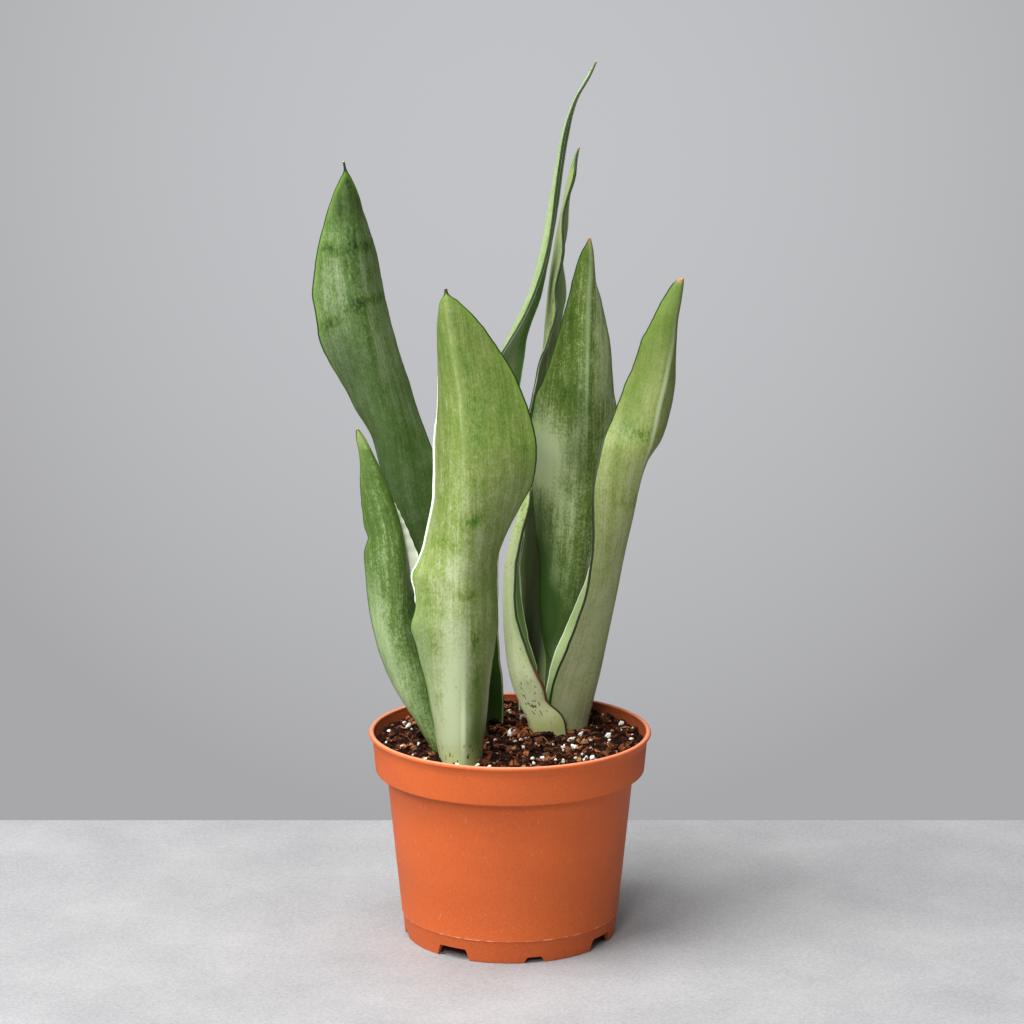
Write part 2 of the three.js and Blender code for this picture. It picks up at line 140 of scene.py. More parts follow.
# Rows of a leaf's keel line from the bottom up, in mm and degrees:
# height, x, y (from the pot's axis), half width, turn, fold.
# A wave is (side, height, reach, push) of a margin, and a ripple is (sway, wavelength, phase).
# A curl is (side, from height, to height, run in at the bottom, run in at the top, share, slope): there the outer
# share of that half turns to the slope in degrees and shows the cream of its thick edge.
# Bloom is how silvery the skin is at the mix and at the tip. Tones are the skin's deep, middle and silvered
# colours, and lining is the colour of the inner face by the edge.
# Marks paint a channel of the skin softly. A band right across is (height, reach, strength). A patch is (place
# across from -1 left to 1 right, height, reach across, reach up and down, strength), with a slant last if it has
# one: the mm that it climbs from the middle to the right.
# The keel marks paint a pale highlight along the ridge.
# The shade marks are painted shade in recesses, at leaf bases and on sides turned from the light; a few silver,
# stripe and lime marks are painted light, as noted by their leaves.
LEAVES = {
    "tall_left": {
        "thickness": 3.4, "ripple": (0.8, 74, 0.1), "seed": 3, "bloom": (0.5, 0.5),
        "tones": ("#263E0C", "#597534", "#98A580"), "lining": "#8FB060",
        "waves": ((-1, 378, 9, -1.2), (-1, 390, 7, 0.8), (1, 436, 4, -0.8)),
        "rows": (
            (92, -28, 2, 17, -45, 100), (119, -32, 3, 20, -45, 98), (163, -40, 5, 23, -45, 95),
            (199, -49, 6, 26, -43, 94), (227, -56.5, 8, 28, -40, 94), (257, -64, 9, 29, -32, 94),
            (281, -68.5, 10, 29, -24, 94), (304, -71.5, 11, 28, -9.5, 105), (325, -76, 12, 29, 3.5, 99),
            (344, -80.5, 12, 30, 12, 92), (370, -87, 13, 30, 22, 76), (391, -90.5, 14, 29.5, 20, 82),
            (414, -93, 14, 24.5, 16, 86), (443, -95, 15, 13, 15, 95), (455, -96, 15, 5.2, 10, 90),
            (460, -96.5, 15, 1.3, 4, 80), (466, -97.5, 15, 0.6, 0, 60),
        ),
        "marks": {
            "silver": ((-0.45, 375, 0.5, 55, 0.25), (0.2, 355, 0.12, 60, 0.25), (0.8, 370, 0.3, 50, 0.2)),
            "dark": (
                (-0.55, 414.5, 0.45, 2.6, 0.55), (0.45, 415, 0.4, 2.4, 0.5), (-0.7, 376, 0.35, 3.2, 0.7, 4),
                (-0.15, 382, 0.3, 3, 0.4, 4), (0.6, 382.5, 0.5, 2.6, 0.55), (-0.35, 440, 0.2, 9, 0.35),
                (-0.08, 425, 0.06, 40, 0.45), (0.05, 410, 0.05, 50, 0.4), (0, 350, 0.1, 60, 0.25),
                (457, 4, 0.8),
            ),
            "painted_shade": ((265, 85, 0.65), (446, 18, 0.5), (-0.4, 348, 0.5, 24, 0.35)),
            "lime": ((400, 60, 0.7), (452, 14, 0.6)),
            "dry": ((467, 1.4, 1),),
        },
    },
    "short_left": {
        "thickness": 3, "ripple": (0.7, 60, 0.4), "seed": 11, "bloom": (0.55, 0.4),
        "tones": ("#2A4C0E", "#58742E", "#9EB47E"), "lining": "#8FB060",
        "curls": ((1, 205, 277, 8, 52, 0.4, -36),), "waves": ((-1, 250, 5, -2.6), (-1, 236, 9, 1)),
        "rows": (
            (92, -36, -25, 15, -45, 100), (119, -43, -28, 19, -45, 104), (130, -47.5, -28, 21, -30, 104),
            (150, -54.5, -28, 23, -9, 103), (174, -60, -27, 25, 5, 103), (191, -63.5, -27, 26, 9, 106),
            (204, -65, -27, 26.5, 12, 108), (226, -66, -27, 25.5, 20, 115), (256, -69.5, -26, 21, 25, 115),
            (285, -78, -24, 14, 22, 119), (300, -84, -22, 7.4, 12, 118), (308, -87.5, -21, 3.6, 8, 100),
            (313, -89.5, -20, 0.7, 5, 80),
        ),
        "marks": {
            "silver": (
                (-0.6, 190, 0.5, 32, 0.45), (-0.3, 150, 0.4, 22, 0.35), (-0.25, 250, 0.05, 30, 0.35),
                (0.1, 245, 0.05, 40, 0.25),
            ),
            "dark": ((0.4, 230, 0.5, 60, 0.25), (-0.2, 205, 0.1, 20, 0.25)),
            "lime": ((300, 22, 0.7), (180, 90, 0.6)),
            "dry": ((314, 1.6, 0.9),),
            "yellow": ((308, 6, 0.3),),
        },
    },
    "front": {
        "thickness": 3.6, "ripple": (0.6, 66, 0), "seed": 23, "bloom": (0.6, 0.42),
        "tones": ("#406A0C", "#7C8E44", "#ACB88E"), "lining": "#A9C47E",
        "curls": ((-1, 214, 356, 44, 60, 0.04, -20),),
        "waves": ((-1, 198, 7, 2.2), (-1, 230, 6, 3.2), (-1, 212, 7, -1)),
        "rows": (
            (92, -25, -50, 24, 6, 120), (119, -27.2, -56, 29, 6, 125), (147, -27.4, -57, 30.5, 6, 110),
            (161, -27.4, -57, 31, 8, 103), (186, -27.3, -57, 33, 12, 86), (202, -27.2, -57, 34, 13, 80),
            (219, -27, -56, 35, 12, 87), (231, -26.9, -55, 36, 11, 93), (247, -26.9, -54, 38.5, 1, 104),
            (268, -26.5, -53, 41, -12, 99), (289, -26.3, -51, 43.5, -24, 84), (305, -26.3, -50, 44, -26, 80),
            (319, -27, -48, 42.5, -26, 82), (339, -28.7, -46, 36.8, -25, 86), (360, -31.8, -45, 27.3, -23, 89),
            (378, -34.3, -44, 17, -20, 84), (391, -36, -43, 6.5, -12, 80), (394.5, -36.4, -42.5, 1.8, -6, 70),
            (398.5, -36.9, -42, 0.8, 0, 60),
        ),
        "marks": {
            "silver": (
                (-0.1, 165, 0.25, 60, 0.35), (-0.4, 150, 0.6, 50, 0.35), (0.8, 150, 0.2, 30, 0.35),
                (0.85, 150, 0.15, 40, 0.4), (-0.75, 300, 0.35, 80, 0.2), (-0.1, 250, 0.3, 30, 0.15),
                (-0.35, 126, 0.4, 9, 0.7),
            ),
            "dark": (
                # The first patch is painted shade, dimming the left half that faces the key light.
                (-0.5, 290, 0.4, 70, 0.2), (0.28, 170, 0.1, 12, 0.5), (0.22, 194, 0.1, 7, 0.75),
                (0.1, 193, 0.08, 5, 0.3), (0.03, 221, 0.2, 3, 0.4), (0.13, 222, 0.04, 6, 0.5),
                (0.12, 262, 0.13, 3, 0.7, 20), (-0.08, 252, 0.1, 4, 0.4, 30), (-0.35, 250, 0.2, 3, 0.25),
                (-0.6, 215, 0.25, 9, 0.25), (-0.5, 190, 0.15, 8, 0.2), (-0.55, 160, 0.15, 5, 0.3),
                (0.45, 345, 0.4, 40, 0.12), (0.18, 345, 0.06, 30, 0.2), (0.15, 300, 0.08, 40, 0.15),
                (0.9, 195, 0.35, 40, 0.3),
            ),
            "painted_shade": ((0.25, 134, 0.22, 40, 0.8), (-0.6, 371, 0.4, 22, 0.35), (-0.75, 196, 0.25, 24, 0.35)),
            "midline": ((350, 60, 0.9),),
            "keel": ((345, 45, 0.18), (138, 32, 1)),
            "lime": (
                (0.8, 196, 0.3, 30, 0.6), (0.9, 135, 0.3, 24, 1), (300, 90, 0.7), (150, 50, 0.8),
                (385, 14, 0.9),
            ),
            "dry": ((399.5, 1.6, 1.1),),
            "yellow": ((-0.2, 121, 0.6, 8, 0.7),),
            "scar": ((0.1, 125, 0.9, 6, 1.3),),
        },
    },
    "tallest": {
        "thickness": 2.6, "ripple": (0.3, 50, 0.2), "seed": 31, "bloom": (0.5, 0.5),
        # Its lining is made paler as painted light on the shaded inner face.
        "tones": ("#305608", "#8CA468", "#A6B68E"), "lining": "#568038",
        "rows": (
            (92, -13, 31, 11, -178, 60), (119, -15, 36, 12.5, -176, 62), (141, -16.5, 37, 14, -175, 60),
            (166, -20, 38, 14.5, -172, 56), (200, -22, 39, 15.5, -168, 54), (240, -21.5, 39, 16, -160, 50),
            (290, -15, 38, 17, -146, 46), (331, -9.5, 36, 17.5, -134, 44), (351, -3.2, 34, 17, -119, 42),
            (363, 2, 33, 15.5, -111, 38), (382, 10.6, 31, 12.6, -104, 43), (395, 14.8, 30, 11.2, -99, 48),
            (413, 18.8, 28, 10, -97, 58), (436, 22.9, 26, 8, -97, 68), (466, 28, 24, 5.8, -106, 70),
            (486, 32.2, 23, 4.4, -106, 72), (502, 38.2, 22, 2.7, -100, 64), (515, 45.6, 22, 3, -95, 54),
            (524, 50.7, 22, 0.7, -90, 50),
        ),
        "marks": {
            "painted_shade": ((150, 80, 0.8),),
            # The silver band at 315 mm is painted light on the shaded middle of the blade.
            "silver": ((0.2, 430, 0.4, 90, 0.4), (315, 50, 0.2)),
            "dark": ((-0.7, 400, 0.3, 60, 0.5),),
            # The lime band at 140 mm is painted rim light along the margin by the base.
            "lime": ((140, 30, 1),),
            "dry": ((525, 3, 1),),
        },
    },
    "slim_back": {
        "thickness": 2.6, "ripple": (1.6, 44, 0.3), "seed": 41, "bloom": (0.65, 0.4),
        # Its lining is made paler as painted light on the shaded inner face.
        "tones": ("#0E2002", "#8C9C62", "#868F70"), "lining": "#98B072",
        "waves": ((1, 372, 6, 1.6), (1, 357, 5, -1.2)),
        "rows": (
            (92, 13.5, 56, 8, -175, 64), (119, 13.5, 65, 10, -175, 64), (162, 13.5, 75, 14, -160, 60),
            (200, 13.5, 78, 16.5, -146, 58), (250, 14, 80, 17, -138, 56), (290, 17, 80, 16.5, -140, 56),
            (318, 20, 80, 16.5, -145, 56), (343, 22.6, 79, 15.5, -128, 58), (353, 22.5, 78, 14.5, -117, 60),
            (361, 22.6, 78, 13.5, -111, 64), (379, 23.8, 78, 12, -103, 80), (409, 27.5, 78, 9.2, -99, 78),
            (432, 31.8, 78, 5.2, -100, 76), (454, 36.6, 78, 5.6, -96, 70), (464, 39.6, 78, 2.8, -92, 60),
            (469.5, 42, 78, 0.7, -90, 50),
        ),
        "marks": {
            "painted_shade": ((130, 90, 0.9), (0.5, 386, 0.3, 28, 0.95)),
            "silver": ((0.3, 425, 0.4, 40, 0.4),),
            "stripe": ((0.02, 378, 0.08, 40, 0.9),),
            "lime": ((460, 14, 0.5),),
            "dry": ((470, 2.4, 1),),
        },
    },
    "centre": {
        "thickness": 3.4, "ripple": (0.6, 70, 0.6), "seed": 53, "bloom": (0.52, 0.48),
        "tones": ("#2C4A0A", "#62792F", "#BCCE92"), "lining": "#8FB060", "waves": ((1, 392, 5, -0.8),),
        "rows": (
            (92, 33, 41, 13, 4, 72), (119, 34.5, 48, 16, 3, 76), (150, 34.5, 50, 20, -3, 98),
            (169, 36, 50, 24, 2, 92), (195, 39, 50, 28, 4, 88), (211, 40.6, 49, 30, 4, 88),
            (245, 43, 46, 34, 10, 78), (271, 44.5, 43, 36.5, 13, 76), (290, 45.2, 40, 37, 15, 72),
            (317, 45.6, 37, 34.5, 17, 82), (328, 45.8, 36, 31, 14, 84), (351, 46.2, 35, 24.5, 7.5, 90),
            (382, 46.9, 33, 14.5, 13, 94), (401, 48, 32, 10.6, 28, 118), (411, 48.1, 31, 6.4, 32, 117),
            (416.5, 47.6, 30.5, 2.4, 30, 100), (419.5, 47.1, 30, 0.7, 25, 80),
        ),
        "marks": {
            # The silver and stripe patches at 284 mm, near the left margin, are a painted pool of light; the
            # silver patch at 0.6 across is painted light on the shaded right facet.
            "silver": (
                (-0.78, 284, 0.3, 22, 1), (-0.3, 240, 0.3, 50, 0.15), (0.6, 340, 0.45, 70, 0.45),
                (-0.35, 252, 0.22, 22, 0.3),
            ),
            "stripe": ((-0.7, 284, 0.3, 16, 0.7), (0.42, 345, 0.03, 40, 0.5)),
            "painted_shade": (
                (-0.15, 286, 0.22, 18, 0.45), (-0.1, 320, 0.2, 26, 0.5), (-0.85, 225, 0.3, 40, 0.75),
                (176, 42, 0.7), (-0.6, 182, 0.35, 22, 0.5),
            ),
            "dark": ((-0.3, 325, 0.3, 10, 0.25),),
            "keel": ((370, 60, 0.4),),
            "lime": ((350, 70, 0.9),),
            "dry": ((421, 4, 1.3),),
        },
    },
    "small": {
        # Its very pale tones and high bloom are painted light, lifting a leaf that the front leaves shade.
        "thickness": 2.6, "ripple": (0.2, 50, 0), "seed": 61, "bloom": (0.95, 0.7),
        "tones": ("#4A7218", "#D8F098", "#F8FFD0"), "lining": "#5F9038", "waves": ((1, 134, 7, -4),),
        "rows": (
            (92, 14, 4, 15, -38, 90), (119, 15.8, 4, 20, -36, 98), (128, 13.6, 4, 20.4, -44, 98),
            (140, 7.6, 5, 19, -64, 100), (155, 1.8, 6, 21, -85, 102), (177, -1.6, 7, 17.6, -94, 90),
            (201, -3, 8, 14, -98, 76), (221, -2.4, 8, 11.5, -97, 80), (231, -1.2, 8, 10.5, -96, 82),
            (247, 2.6, 8, 9, -92, 82), (264, 8.4, 8, 6.2, -84, 80), (273, 12.5, 8, 0.8, -80, 60),
        ),
        "marks": {
            "dark": ((258, 18, 0.35),),
            "yellow": ((120, 13, 1),),
            "scar": ((0.45, 140, 0.4, 13, 0.9),),
            "brown_edge": ((0.9, 150, 0.5, 14, 1.3),),
            "dry": ((274, 2, 1),),
            "lime": ((200, 60, 0.5),),
        },
    },
    "right": {
        "thickness": 3.2, "ripple": (0.5, 64, 0.8), "seed": 71, "bloom": (0.85, 0.3),
        "tones": ("#4E6E12", "#909C58", "#B2B890"), "lining": "#B2CC88",
        "waves": ((1, 350, 6, 1.2), (1, 362, 5, -1), (1, 207, 30, -6.5)),
        "rows": (
            (92, 42, 25, 22, 96, 120), (119, 45.5, 27, 27, 96, 126), (133, 48.4, 26.5, 31, 96, 128),
            (153, 53, 26, 33, 94, 118), (172, 56.9, 25.5, 33, 91, 96), (188, 60, 25, 32.7, 93, 87),
            (205, 63.4, 24, 32, 95, 82), (222, 66.3, 23.5, 31.2, 91, 80), (242, 70.4, 23, 31, 86, 85),
            (265, 75.3, 23, 31.6, 72, 83), (284, 79.4, 23, 29, 53, 78), (298, 84.4, 23, 28.6, 30, 91),
            (321, 89.2, 23, 26.5, 20, 100), (335, 92.4, 22, 24, 21, 107), (357, 96.3, 21, 20.6, 34, 120),
            (372, 97.6, 20, 13.8, 35, 121), (383, 99.8, 20, 9.8, 34, 121), (392, 101.5, 20, 5.6, 33, 110),
            (396.5, 102.2, 20, 1.6, 30, 90),
        ),
        "marks": {
            "silver": ((-0.2, 300, 0.15, 60, 0.15),),
            "dark": ((-0.3, 300, 0.5, 6, 0.45), (-0.2, 262, 0.4, 5, 0.4), (-0.1, 160, 0.2, 20, 0.3)),
            "painted_shade": ((380, 34, 0.7), (-0.6, 322, 0.4, 30, 0.5)),
            "keel": ((320, 40, 0.9),),
            "lime": ((330, 80, 0.3), (-0.3, 142, 0.6, 20, 0.6)),
            "dry": ((397.5, 3, 1.3),),
        },
    },
}

CHANNELS = ("silver", "dark", "dry", "keel", "midline", "lime", "scar", "yellow", "brown_edge", "stripe", "painted_shade")
PLACES = ("across", "height", "edge_run", "cream", "inner")  # what the skin knows of each point of a blade
WHOLE_WIDTH = 9  # reach across of a mark that runs right over the leaf
BLADE_RINGS = 180
RING_CROWDING = 1.35  # gathers the rings towards the tip
TIP_DROP = 0.6  # from the tip's point down to the last ring
TIP_CREAM = 400.0  # so much that the skin is cream from the last ring to the point
HALF_FACETS = 20
EDGE_CROWDING = 1.5  # gathers the facets towards the margins
RIM_STEPS = 3
CURL_BEND = 0.2  # share of a curl over which it turns
KEEL_SHARPNESS = 0.42
MARGIN = 1.3  # thickness at the edge
BULGE = 2.2  # how long a blade stays thick towards its edge
FULL_WIDTH = 18  # half width under which a blade thins
THINNEST = 0.3
BASE_THICKNESS = 1.25  # shares of a leaf's own thickness
TOP_THICKNESS = 0.85
NIBBLE = 0.45  # how far the margins stray in and out
NIBBLE_LENGTHS = (9, 3.5)
NIBBLE_FADE = 14  # half width under which that fades
UNEVEN = 0.35  # how far the faces stray in and out
UNEVEN_LENGTHS = (9, 24)  # across and up
WAVER_FADE = 12  # half width under which that and the ripple fade
MARK_STRAY = (0.06, 2.2)  # how far marks stray across and up
MARK_END = 8  # past this spread a mark no longer shows


def colour(code):
    """The linear colour of an sRGB hex code."""
    channels = [int(code[i:i + 2], 16) / 255 for i in (1, 3, 5)]
    linear = [c / 12.92 if c <= 0.04045 else ((c + 0.055) / 1.055) ** 2.4 for c in channels]
    return (*linear, 1.0)


def lerp(a, b, share):
    return a + (b - a) * share


def ease(share):
    """A smooth step from 0 to 1."""
    share = min(1, max(0, share))
    return share * share * (3 - 2 * share)


def in_place(x, y, z):
    """A point given in millimetres from the pot's axis, as metres in the frame."""
    return Vector(((x + POT_AXIS_X) * MM, y * MM, z * MM))


# ---------------------------------------------------------------- settings


def colour_setting(name, description, code):
    return FloatVectorProperty(name=name, description=description, default=colour(code), subtype="COLOR", size=4,
                               min=0, max=1)


def number_setting(name, description, default, kind=FloatProperty, **limits):
    return kind(name=name, description=description, default=default, min=0, **limits)


class PotSettings(bpy.types.PropertyGroup):
    plastic: colour_setting("Plastic", "Colour of the moulded plastic", "#D2602A")
    # This colour also paints the highlight along the lip.
    wear_and_highlight: colour_setting("Worn plastic", "Colour where the plastic is rubbed pale", "#EBA080")
    roughness: number_setting("Roughness", "How matt the plastic is", 0.55, max=1, subtype="FACTOR")


class LeafSettings(bpy.types.PropertyGroup):
    tint: colour_setting("Tint", "Colour that every leaf's own greens are multiplied by", "#FFFFFF")
    line: colour_setting("Margin line", "Colour of the thin line along the margins", "#142C0C")
    rim: colour_setting("Rim", "Colour of the horny edge", "#EFF3DC")
    lime: colour_setting("Lime", "Colour of the young tissue beside the margins", "#6C9430")
    roughness: number_setting("Roughness", "How matt the skin is", 0.5, max=1, subtype="FACTOR")


class MixSettings(bpy.types.PropertyGroup):
    peat: colour_setting("Peat", "Colour of the moist peat", "#1C0E08")
    crumbs: number_setting("Crumbs", "How many loose crumbs of peat lie on top", 2600, IntProperty)
    bark: number_setting("Bark chips", "How many chips of bark lie on top", 430, IntProperty)
    perlite: number_setting("Perlite", "How many grains of perlite lie on top", 170, IntProperty)
    roots: number_setting("Root fibres", "How many fine root fibres lie on top", 90, IntProperty)


class StageSettings(bpy.types.PropertyGroup):
    table: colour_setting("Table", "Colour of the pale table", "#B0B0B1")
    key_power: number_setting("Key light", "Power of the soft box at the left", 120, unit="POWER")
    front_power: number_setting("Front light", "Power of the soft box in front", 26, unit="POWER")
    top_power: number_setting("Top light", "Power of the soft box overhead", 48, unit="POWER")
    fill: number_setting("Room light", "Strength of the light from all round", 0.14)


# ---------------------------------------------------------------- shared tools: finishes


def feed(tree, node, inputs):
    """Gives a node's inputs, by name or number, a value each, or the node or output that feeds them."""
    for key, value in inputs.items():
        if isinstance(value, bpy.types.Node):
            value = value.outputs[0]
        if isinstance(value, bpy.types.NodeSocket):
            tree.links.new(value, node.inputs[key])
        else:
            node.inputs[key].default_value = value


def add_node(tree, kind, inputs=(), **settings):
    """Adds a node with its own settings, and with inputs in the order of its sockets or by name or number."""
    node = tree.nodes.new("ShaderNode" + kind)
    for key, value in settings.items():
        setattr(node, key, value)
    feed(tree, node, inputs if isinstance(inputs, dict) else dict(enumerate(inputs)))
    return node


def new_material(name):
    """A material with an empty principled shader wired to its output."""
    material = bpy.data.materials.new(name)
    material.use_nodes = True
    tree = material.node_tree
    tree.nodes.clear()
    shader = add_node(tree, "BsdfPrincipled")
    add_node(tree, "OutputMaterial", [shader])
    return material, tree, shader


def place_in_mm(tree):
    """Where each point of a piece lies in the frame, in millimetres."""
    metres = add_node(tree, "TexCoord").outputs["Object"]
    return add_node(tree, "VectorMath", {0: metres, "Scale": 1 / MM}, operation="SCALE").outputs[0]


def patterns(tree, place, table, seed):
    """Noise factors over a place vector, by their detail and real size in mm, one or three for the directions."""
    made = {}
    for name, (size, detail) in table.items():
        sizes = size if isinstance(size, tuple) else (size,) * 3
        spread = add_node(tree, "VectorMath", [place, tuple(1 / s for s in sizes), (seed, 2.3 * seed, 0.7)],
                          operation="MULTIPLY_ADD")
        pattern = add_node(tree, "TexNoise", {"Vector": spread, "Scale": 1, "Detail": detail, "Roughness": 0.55})
        made[name] = pattern.outputs["Fac"]
        seed += 5.3
    return made


def paint(tree, ground, layers):
    """Lays colours over a ground one after another, each through its mask."""
    for mask, over in layers:
        mix = add_node(tree, "Mix", {0: mask, 6: ground, 7: over}, data_type="RGBA", clamp_factor=True)
        ground = mix.outputs[2]
    return ground


def relief(tree, shader, height, strength, depth):
    """Gives a finish a fine relief, its depth in mm."""
    bump = add_node(tree, "Bump", {"Height": height, "Strength": strength, "Distance": depth * MM})
    feed(tree, shader, {"Normal": bump})


# ---------------------------------------------------------------- shared tools: shapes


def ring(radius, z, sides, x=0, y=0):
    """Points of a level circle."""
    angles = [2 * math.pi * s / sides for s in range(sides)]
    return [Vector((x + radius * math.cos(a), y + radius * math.sin(a), z)) for a in angles]


def skin_over(rings, start=None, end=None):
    """Points and faces of a closed skin over rings of points, with flat ends or with the end points given."""
    count, points = len(rings[0]), [p for loop in rings for p in loop]
    around = [(s, (s + 1) % count) for s in range(count)]
    last = len(points) - count
    faces = [(r + a, r + b, r + count + b, r + count + a) for r in range(0, last, count) for a, b in around]
    for tip, first, order in ((start, 0, -1), (end, last, 1)):
        if tip is None:
            faces.append(tuple(range(first, first + count))[::order])
        else:
            faces += [(first + a, first + b, len(points))[::order] for a, b in around]
            points.append(tip)
    return points, faces


class Draft:
    """Points, faces and per-point values of a mesh in the making, in millimetres from the pot's axis."""

    def __init__(self):
        self.points, self.faces, self.values = [], [], {}

    def add(self, points, faces, **values):
        """Adds a part, whose values are one for all its points or one for each."""
        first = len(self.points)
        self.points += points
        self.faces += [tuple(first + i for i in face) for face in faces]
        for channel, value in values.items():
            each = [value] * len(points) if isinstance(value, float) else value
            self.values.setdefault(channel, []).extend(each)
        return self

    def mesh(self, name):
        mesh = bpy.data.meshes.new(name)
        mesh.from_pydata([in_place(*p) for p in self.points], [], self.faces)
        for channel, values in self.values.items():
            mesh.attributes.new(channel, "FLOAT", "POINT").data.foreach_set("value", values)
        return mesh

    def piece(self, name, material, slot, smooth=True):
        """The finished object, riding on the plant's one body."""
        mesh = self.mesh(name)
        mesh.validate()
        mesh.materials.append(material)
        if smooth:
            mesh.shade_smooth()
        made = bpy.data.objects.new(name, mesh)
        bpy.context.scene.collection.objects.link(made)
        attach(made, BODY)
        return made


# ---------------------------------------------------------------- leaves: shape


def row_at(rows, z):
    """A leaf's row at any height, on a smooth curve through its rows that runs on straight past their ends."""
    last = len(rows) - 1

    def tangent(k, column):
        before, after = rows[max(k - 1, 0)], rows[min(k + 1, last)]
        return (after[column] - before[column]) / (after[0] - before[0])

    if z <= rows[0][0] or z >= rows[last][0]:
        end = 0 if z <= rows[0][0] else last
        return [value + (z - rows[end][0]) * (tangent(end, column) if column else 1)
                for column, value in enumerate(rows[end])]
    i = next(k for k, row in enumerate(rows) if row[0] > z) - 1
    low, high = rows[i], rows[i + 1]
    span = high[0] - low[0]
    t = (z - low[0]) / span
    t2, t3 = t * t, t * t * t
    return [z] + [
        (2 * t3 - 3 * t2 + 1) * low[c] + (t3 - 2 * t2 + t) * span * tangent(i, c)
        + (3 * t2 - 2 * t3) * high[c] + (t3 - t2) * span * tangent(i + 1, c)
        for c in range(1, 6)
    ]


def blade_section(leaf, z, grow=0.0):
    """One closed section of a blade from the left margin over the keel to the right margin and back inside.
    Each entry is its point, its place across from -1 to 1, and the values of PLACES: mm across, height, mm in from
    the edge or its cream band, how cream the edge is, and 0 outside to 1 inside."""
    rows = leaf["rows"]
    _, x, y, half, turn, fold = row_at(rows, z)
    before, after = row_at(rows, z - 0.5), row_at(rows, z + 0.5)
    along = Vector((after[1] - before[1], after[2] - before[2], 1)).normalized()
    turn = math.radians(turn)
    across = Vector((math.cos(turn), math.sin(turn), 0))
    across = (across - along * across.dot(along)).normalized()
    out = across.cross(along)

    bottom, top = rows[0][0], rows[-1][0]
    narrowing = min(1, THINNEST + half / FULL_WIDTH)
    middle = leaf["thickness"] * narrowing * lerp(BASE_THICKNESS, TOP_THICKNESS, (z - bottom) / (top - bottom))
    edge = min(MARGIN, middle)
    sway, wavelength, phase = leaf["ripple"]
    seed = leaf["seed"]
    centre = Vector((x, y, z))

    sides = {}
    for side in (-1, 1):
        width = half + grow - 0.5 * edge
        for wave_side, height, reach, push in leaf.get("waves", ()):
            if wave_side == side:
                width += push * math.exp(-(((z - height) / reach) ** 2))
        slow, quick = NIBBLE_LENGTHS
        nibble = noise.noise(Vector((seed, side * 3.1, z / slow)))
        nibble += 0.5 * noise.noise(Vector((seed, side, z / quick)))
        width = max(0.1, width + NIBBLE * min(1, half / NIBBLE_FADE) * nibble)
        rippled = sway * min(1, half / WAVER_FADE) * math.sin(2 * math.pi * (z / wavelength + phase + side / 5))
        cream, curl_share, curl_slope = 0.0, 0.0, 0.0
        for curl_side, low, high, low_run, high_run, share, degrees in leaf.get("curls", ()):
            if curl_side == side and low < z < high:
                curl_share = share * min(1, (z - low) / low_run) * min(1, (high - z) / high_run)
                cream, curl_slope = ease(min(z - low, high - z)), math.radians(degrees)

        def slope_at(w):
            kept = math.radians(fold / 2) * (1 + KEEL_SHARPNESS) * w ** KEEL_SHARPNESS
            return lerp(kept, curl_slope, ease((w - 1 + curl_share) / (CURL_BEND * curl_share))) if cream else kept

        aside = depth = before_w = 0
        run = []
        for k in range(HALF_FACETS + 1):
            w = 1 - (1 - k / HALF_FACETS) ** EDGE_CROWDING
            slope = slope_at((w + before_w) / 2)
            aside += width * (w - before_w) * math.cos(slope)
            depth += width * (w - before_w) * math.sin(slope)
            before_w = w
            slope = slope_at(w)
            normal = across * (side * math.sin(slope)) + out * math.cos(slope)
            point = centre + across * (side * aside) + out * (rippled * w * w - depth)
            uneven = noise.noise(Vector((side * aside / UNEVEN_LENGTHS[0] + seed, z / UNEVEN_LENGTHS[1], 4.2)))
            point += normal * (UNEVEN * uneven * min(1, half / WAVER_FADE))
            thick = edge + (middle - edge) * (1 - w ** BULGE) + 2 * grow
            run.append((point, normal, thick, w, width))
        outward = across * (side * math.cos(slope)) - out * math.sin(slope)
        sides[side] = (run, outward, cream, curl_share * width)

    def face(entry, side, inner):
        point, normal, thick, w, width = entry
        _, _, cream, band = sides[side]
        return (point + normal * ((-0.5 if inner else 0.5) * thick), side * w,
                (side * w * width, z, (1 - w) * width - (0 if inner else band), cream, float(inner)))

    def rim(side, order):
        run, outward, cream, band = sides[side]
        point, normal, thick, _, width = run[-1]
        made = []
        for i in order:
            angle = math.pi * i / (RIM_STEPS + 1)
            over = thick / 2 * min(angle, math.pi - angle)
            made.append((point + (normal * math.cos(angle) + outward * math.sin(angle)) * (thick / 2), float(side),
                         (side * width, z, -over - band, cream, angle / math.pi)))
        return made

    left, right = sides[-1][0], sides[1][0]
    return ([face(e, -1, 0) for e in reversed(left)] + [face(e, 1, 0) for e in right[1:]]
            + rim(1, range(1, RIM_STEPS + 1))
            + [face(e, 1, 1) for e in reversed(right)] + [face(e, -1, 1) for e in left[1:]]
            + rim(-1, range(RIM_STEPS, 0, -1)))


def whole_mark(channel, mark):
    """A mark with its channel and all six numbers: a band is a patch right across, and few patches slant."""
    if len(mark) == 3:
        height, reach, strength = mark
        mark = (0, height, WHOLE_WIDTH, reach, strength)
    return (channel, *mark) if len(mark) == 6 else (channel, *mark, 0)


def painted(leaf, marks, u, z):
    """The levels of the skin's channels at a place of a leaf."""
    level = dict.fromkeys(CHANNELS, 0.0)
    level["silver"] = lerp(*leaf["bloom"], (z - MIX_LEVEL) / (leaf["rows"][-1][0] - MIX_LEVEL))
    wander = noise.noise(Vector((u * 2.2 + leaf["seed"], z / 14, 1.7)))
    for channel, at_u, at_z, reach_u, reach_z, strength, slant in marks:
        off_u = (u - at_u + MARK_STRAY[0] * wander) / reach_u
        off_z = (z - at_z - slant * u + MARK_STRAY[1] * wander) / reach_z
        spread = off_u * off_u + off_z * off_z
        if spread < MARK_END:
            level[channel] += strength * math.exp(-spread)
    return level.values()


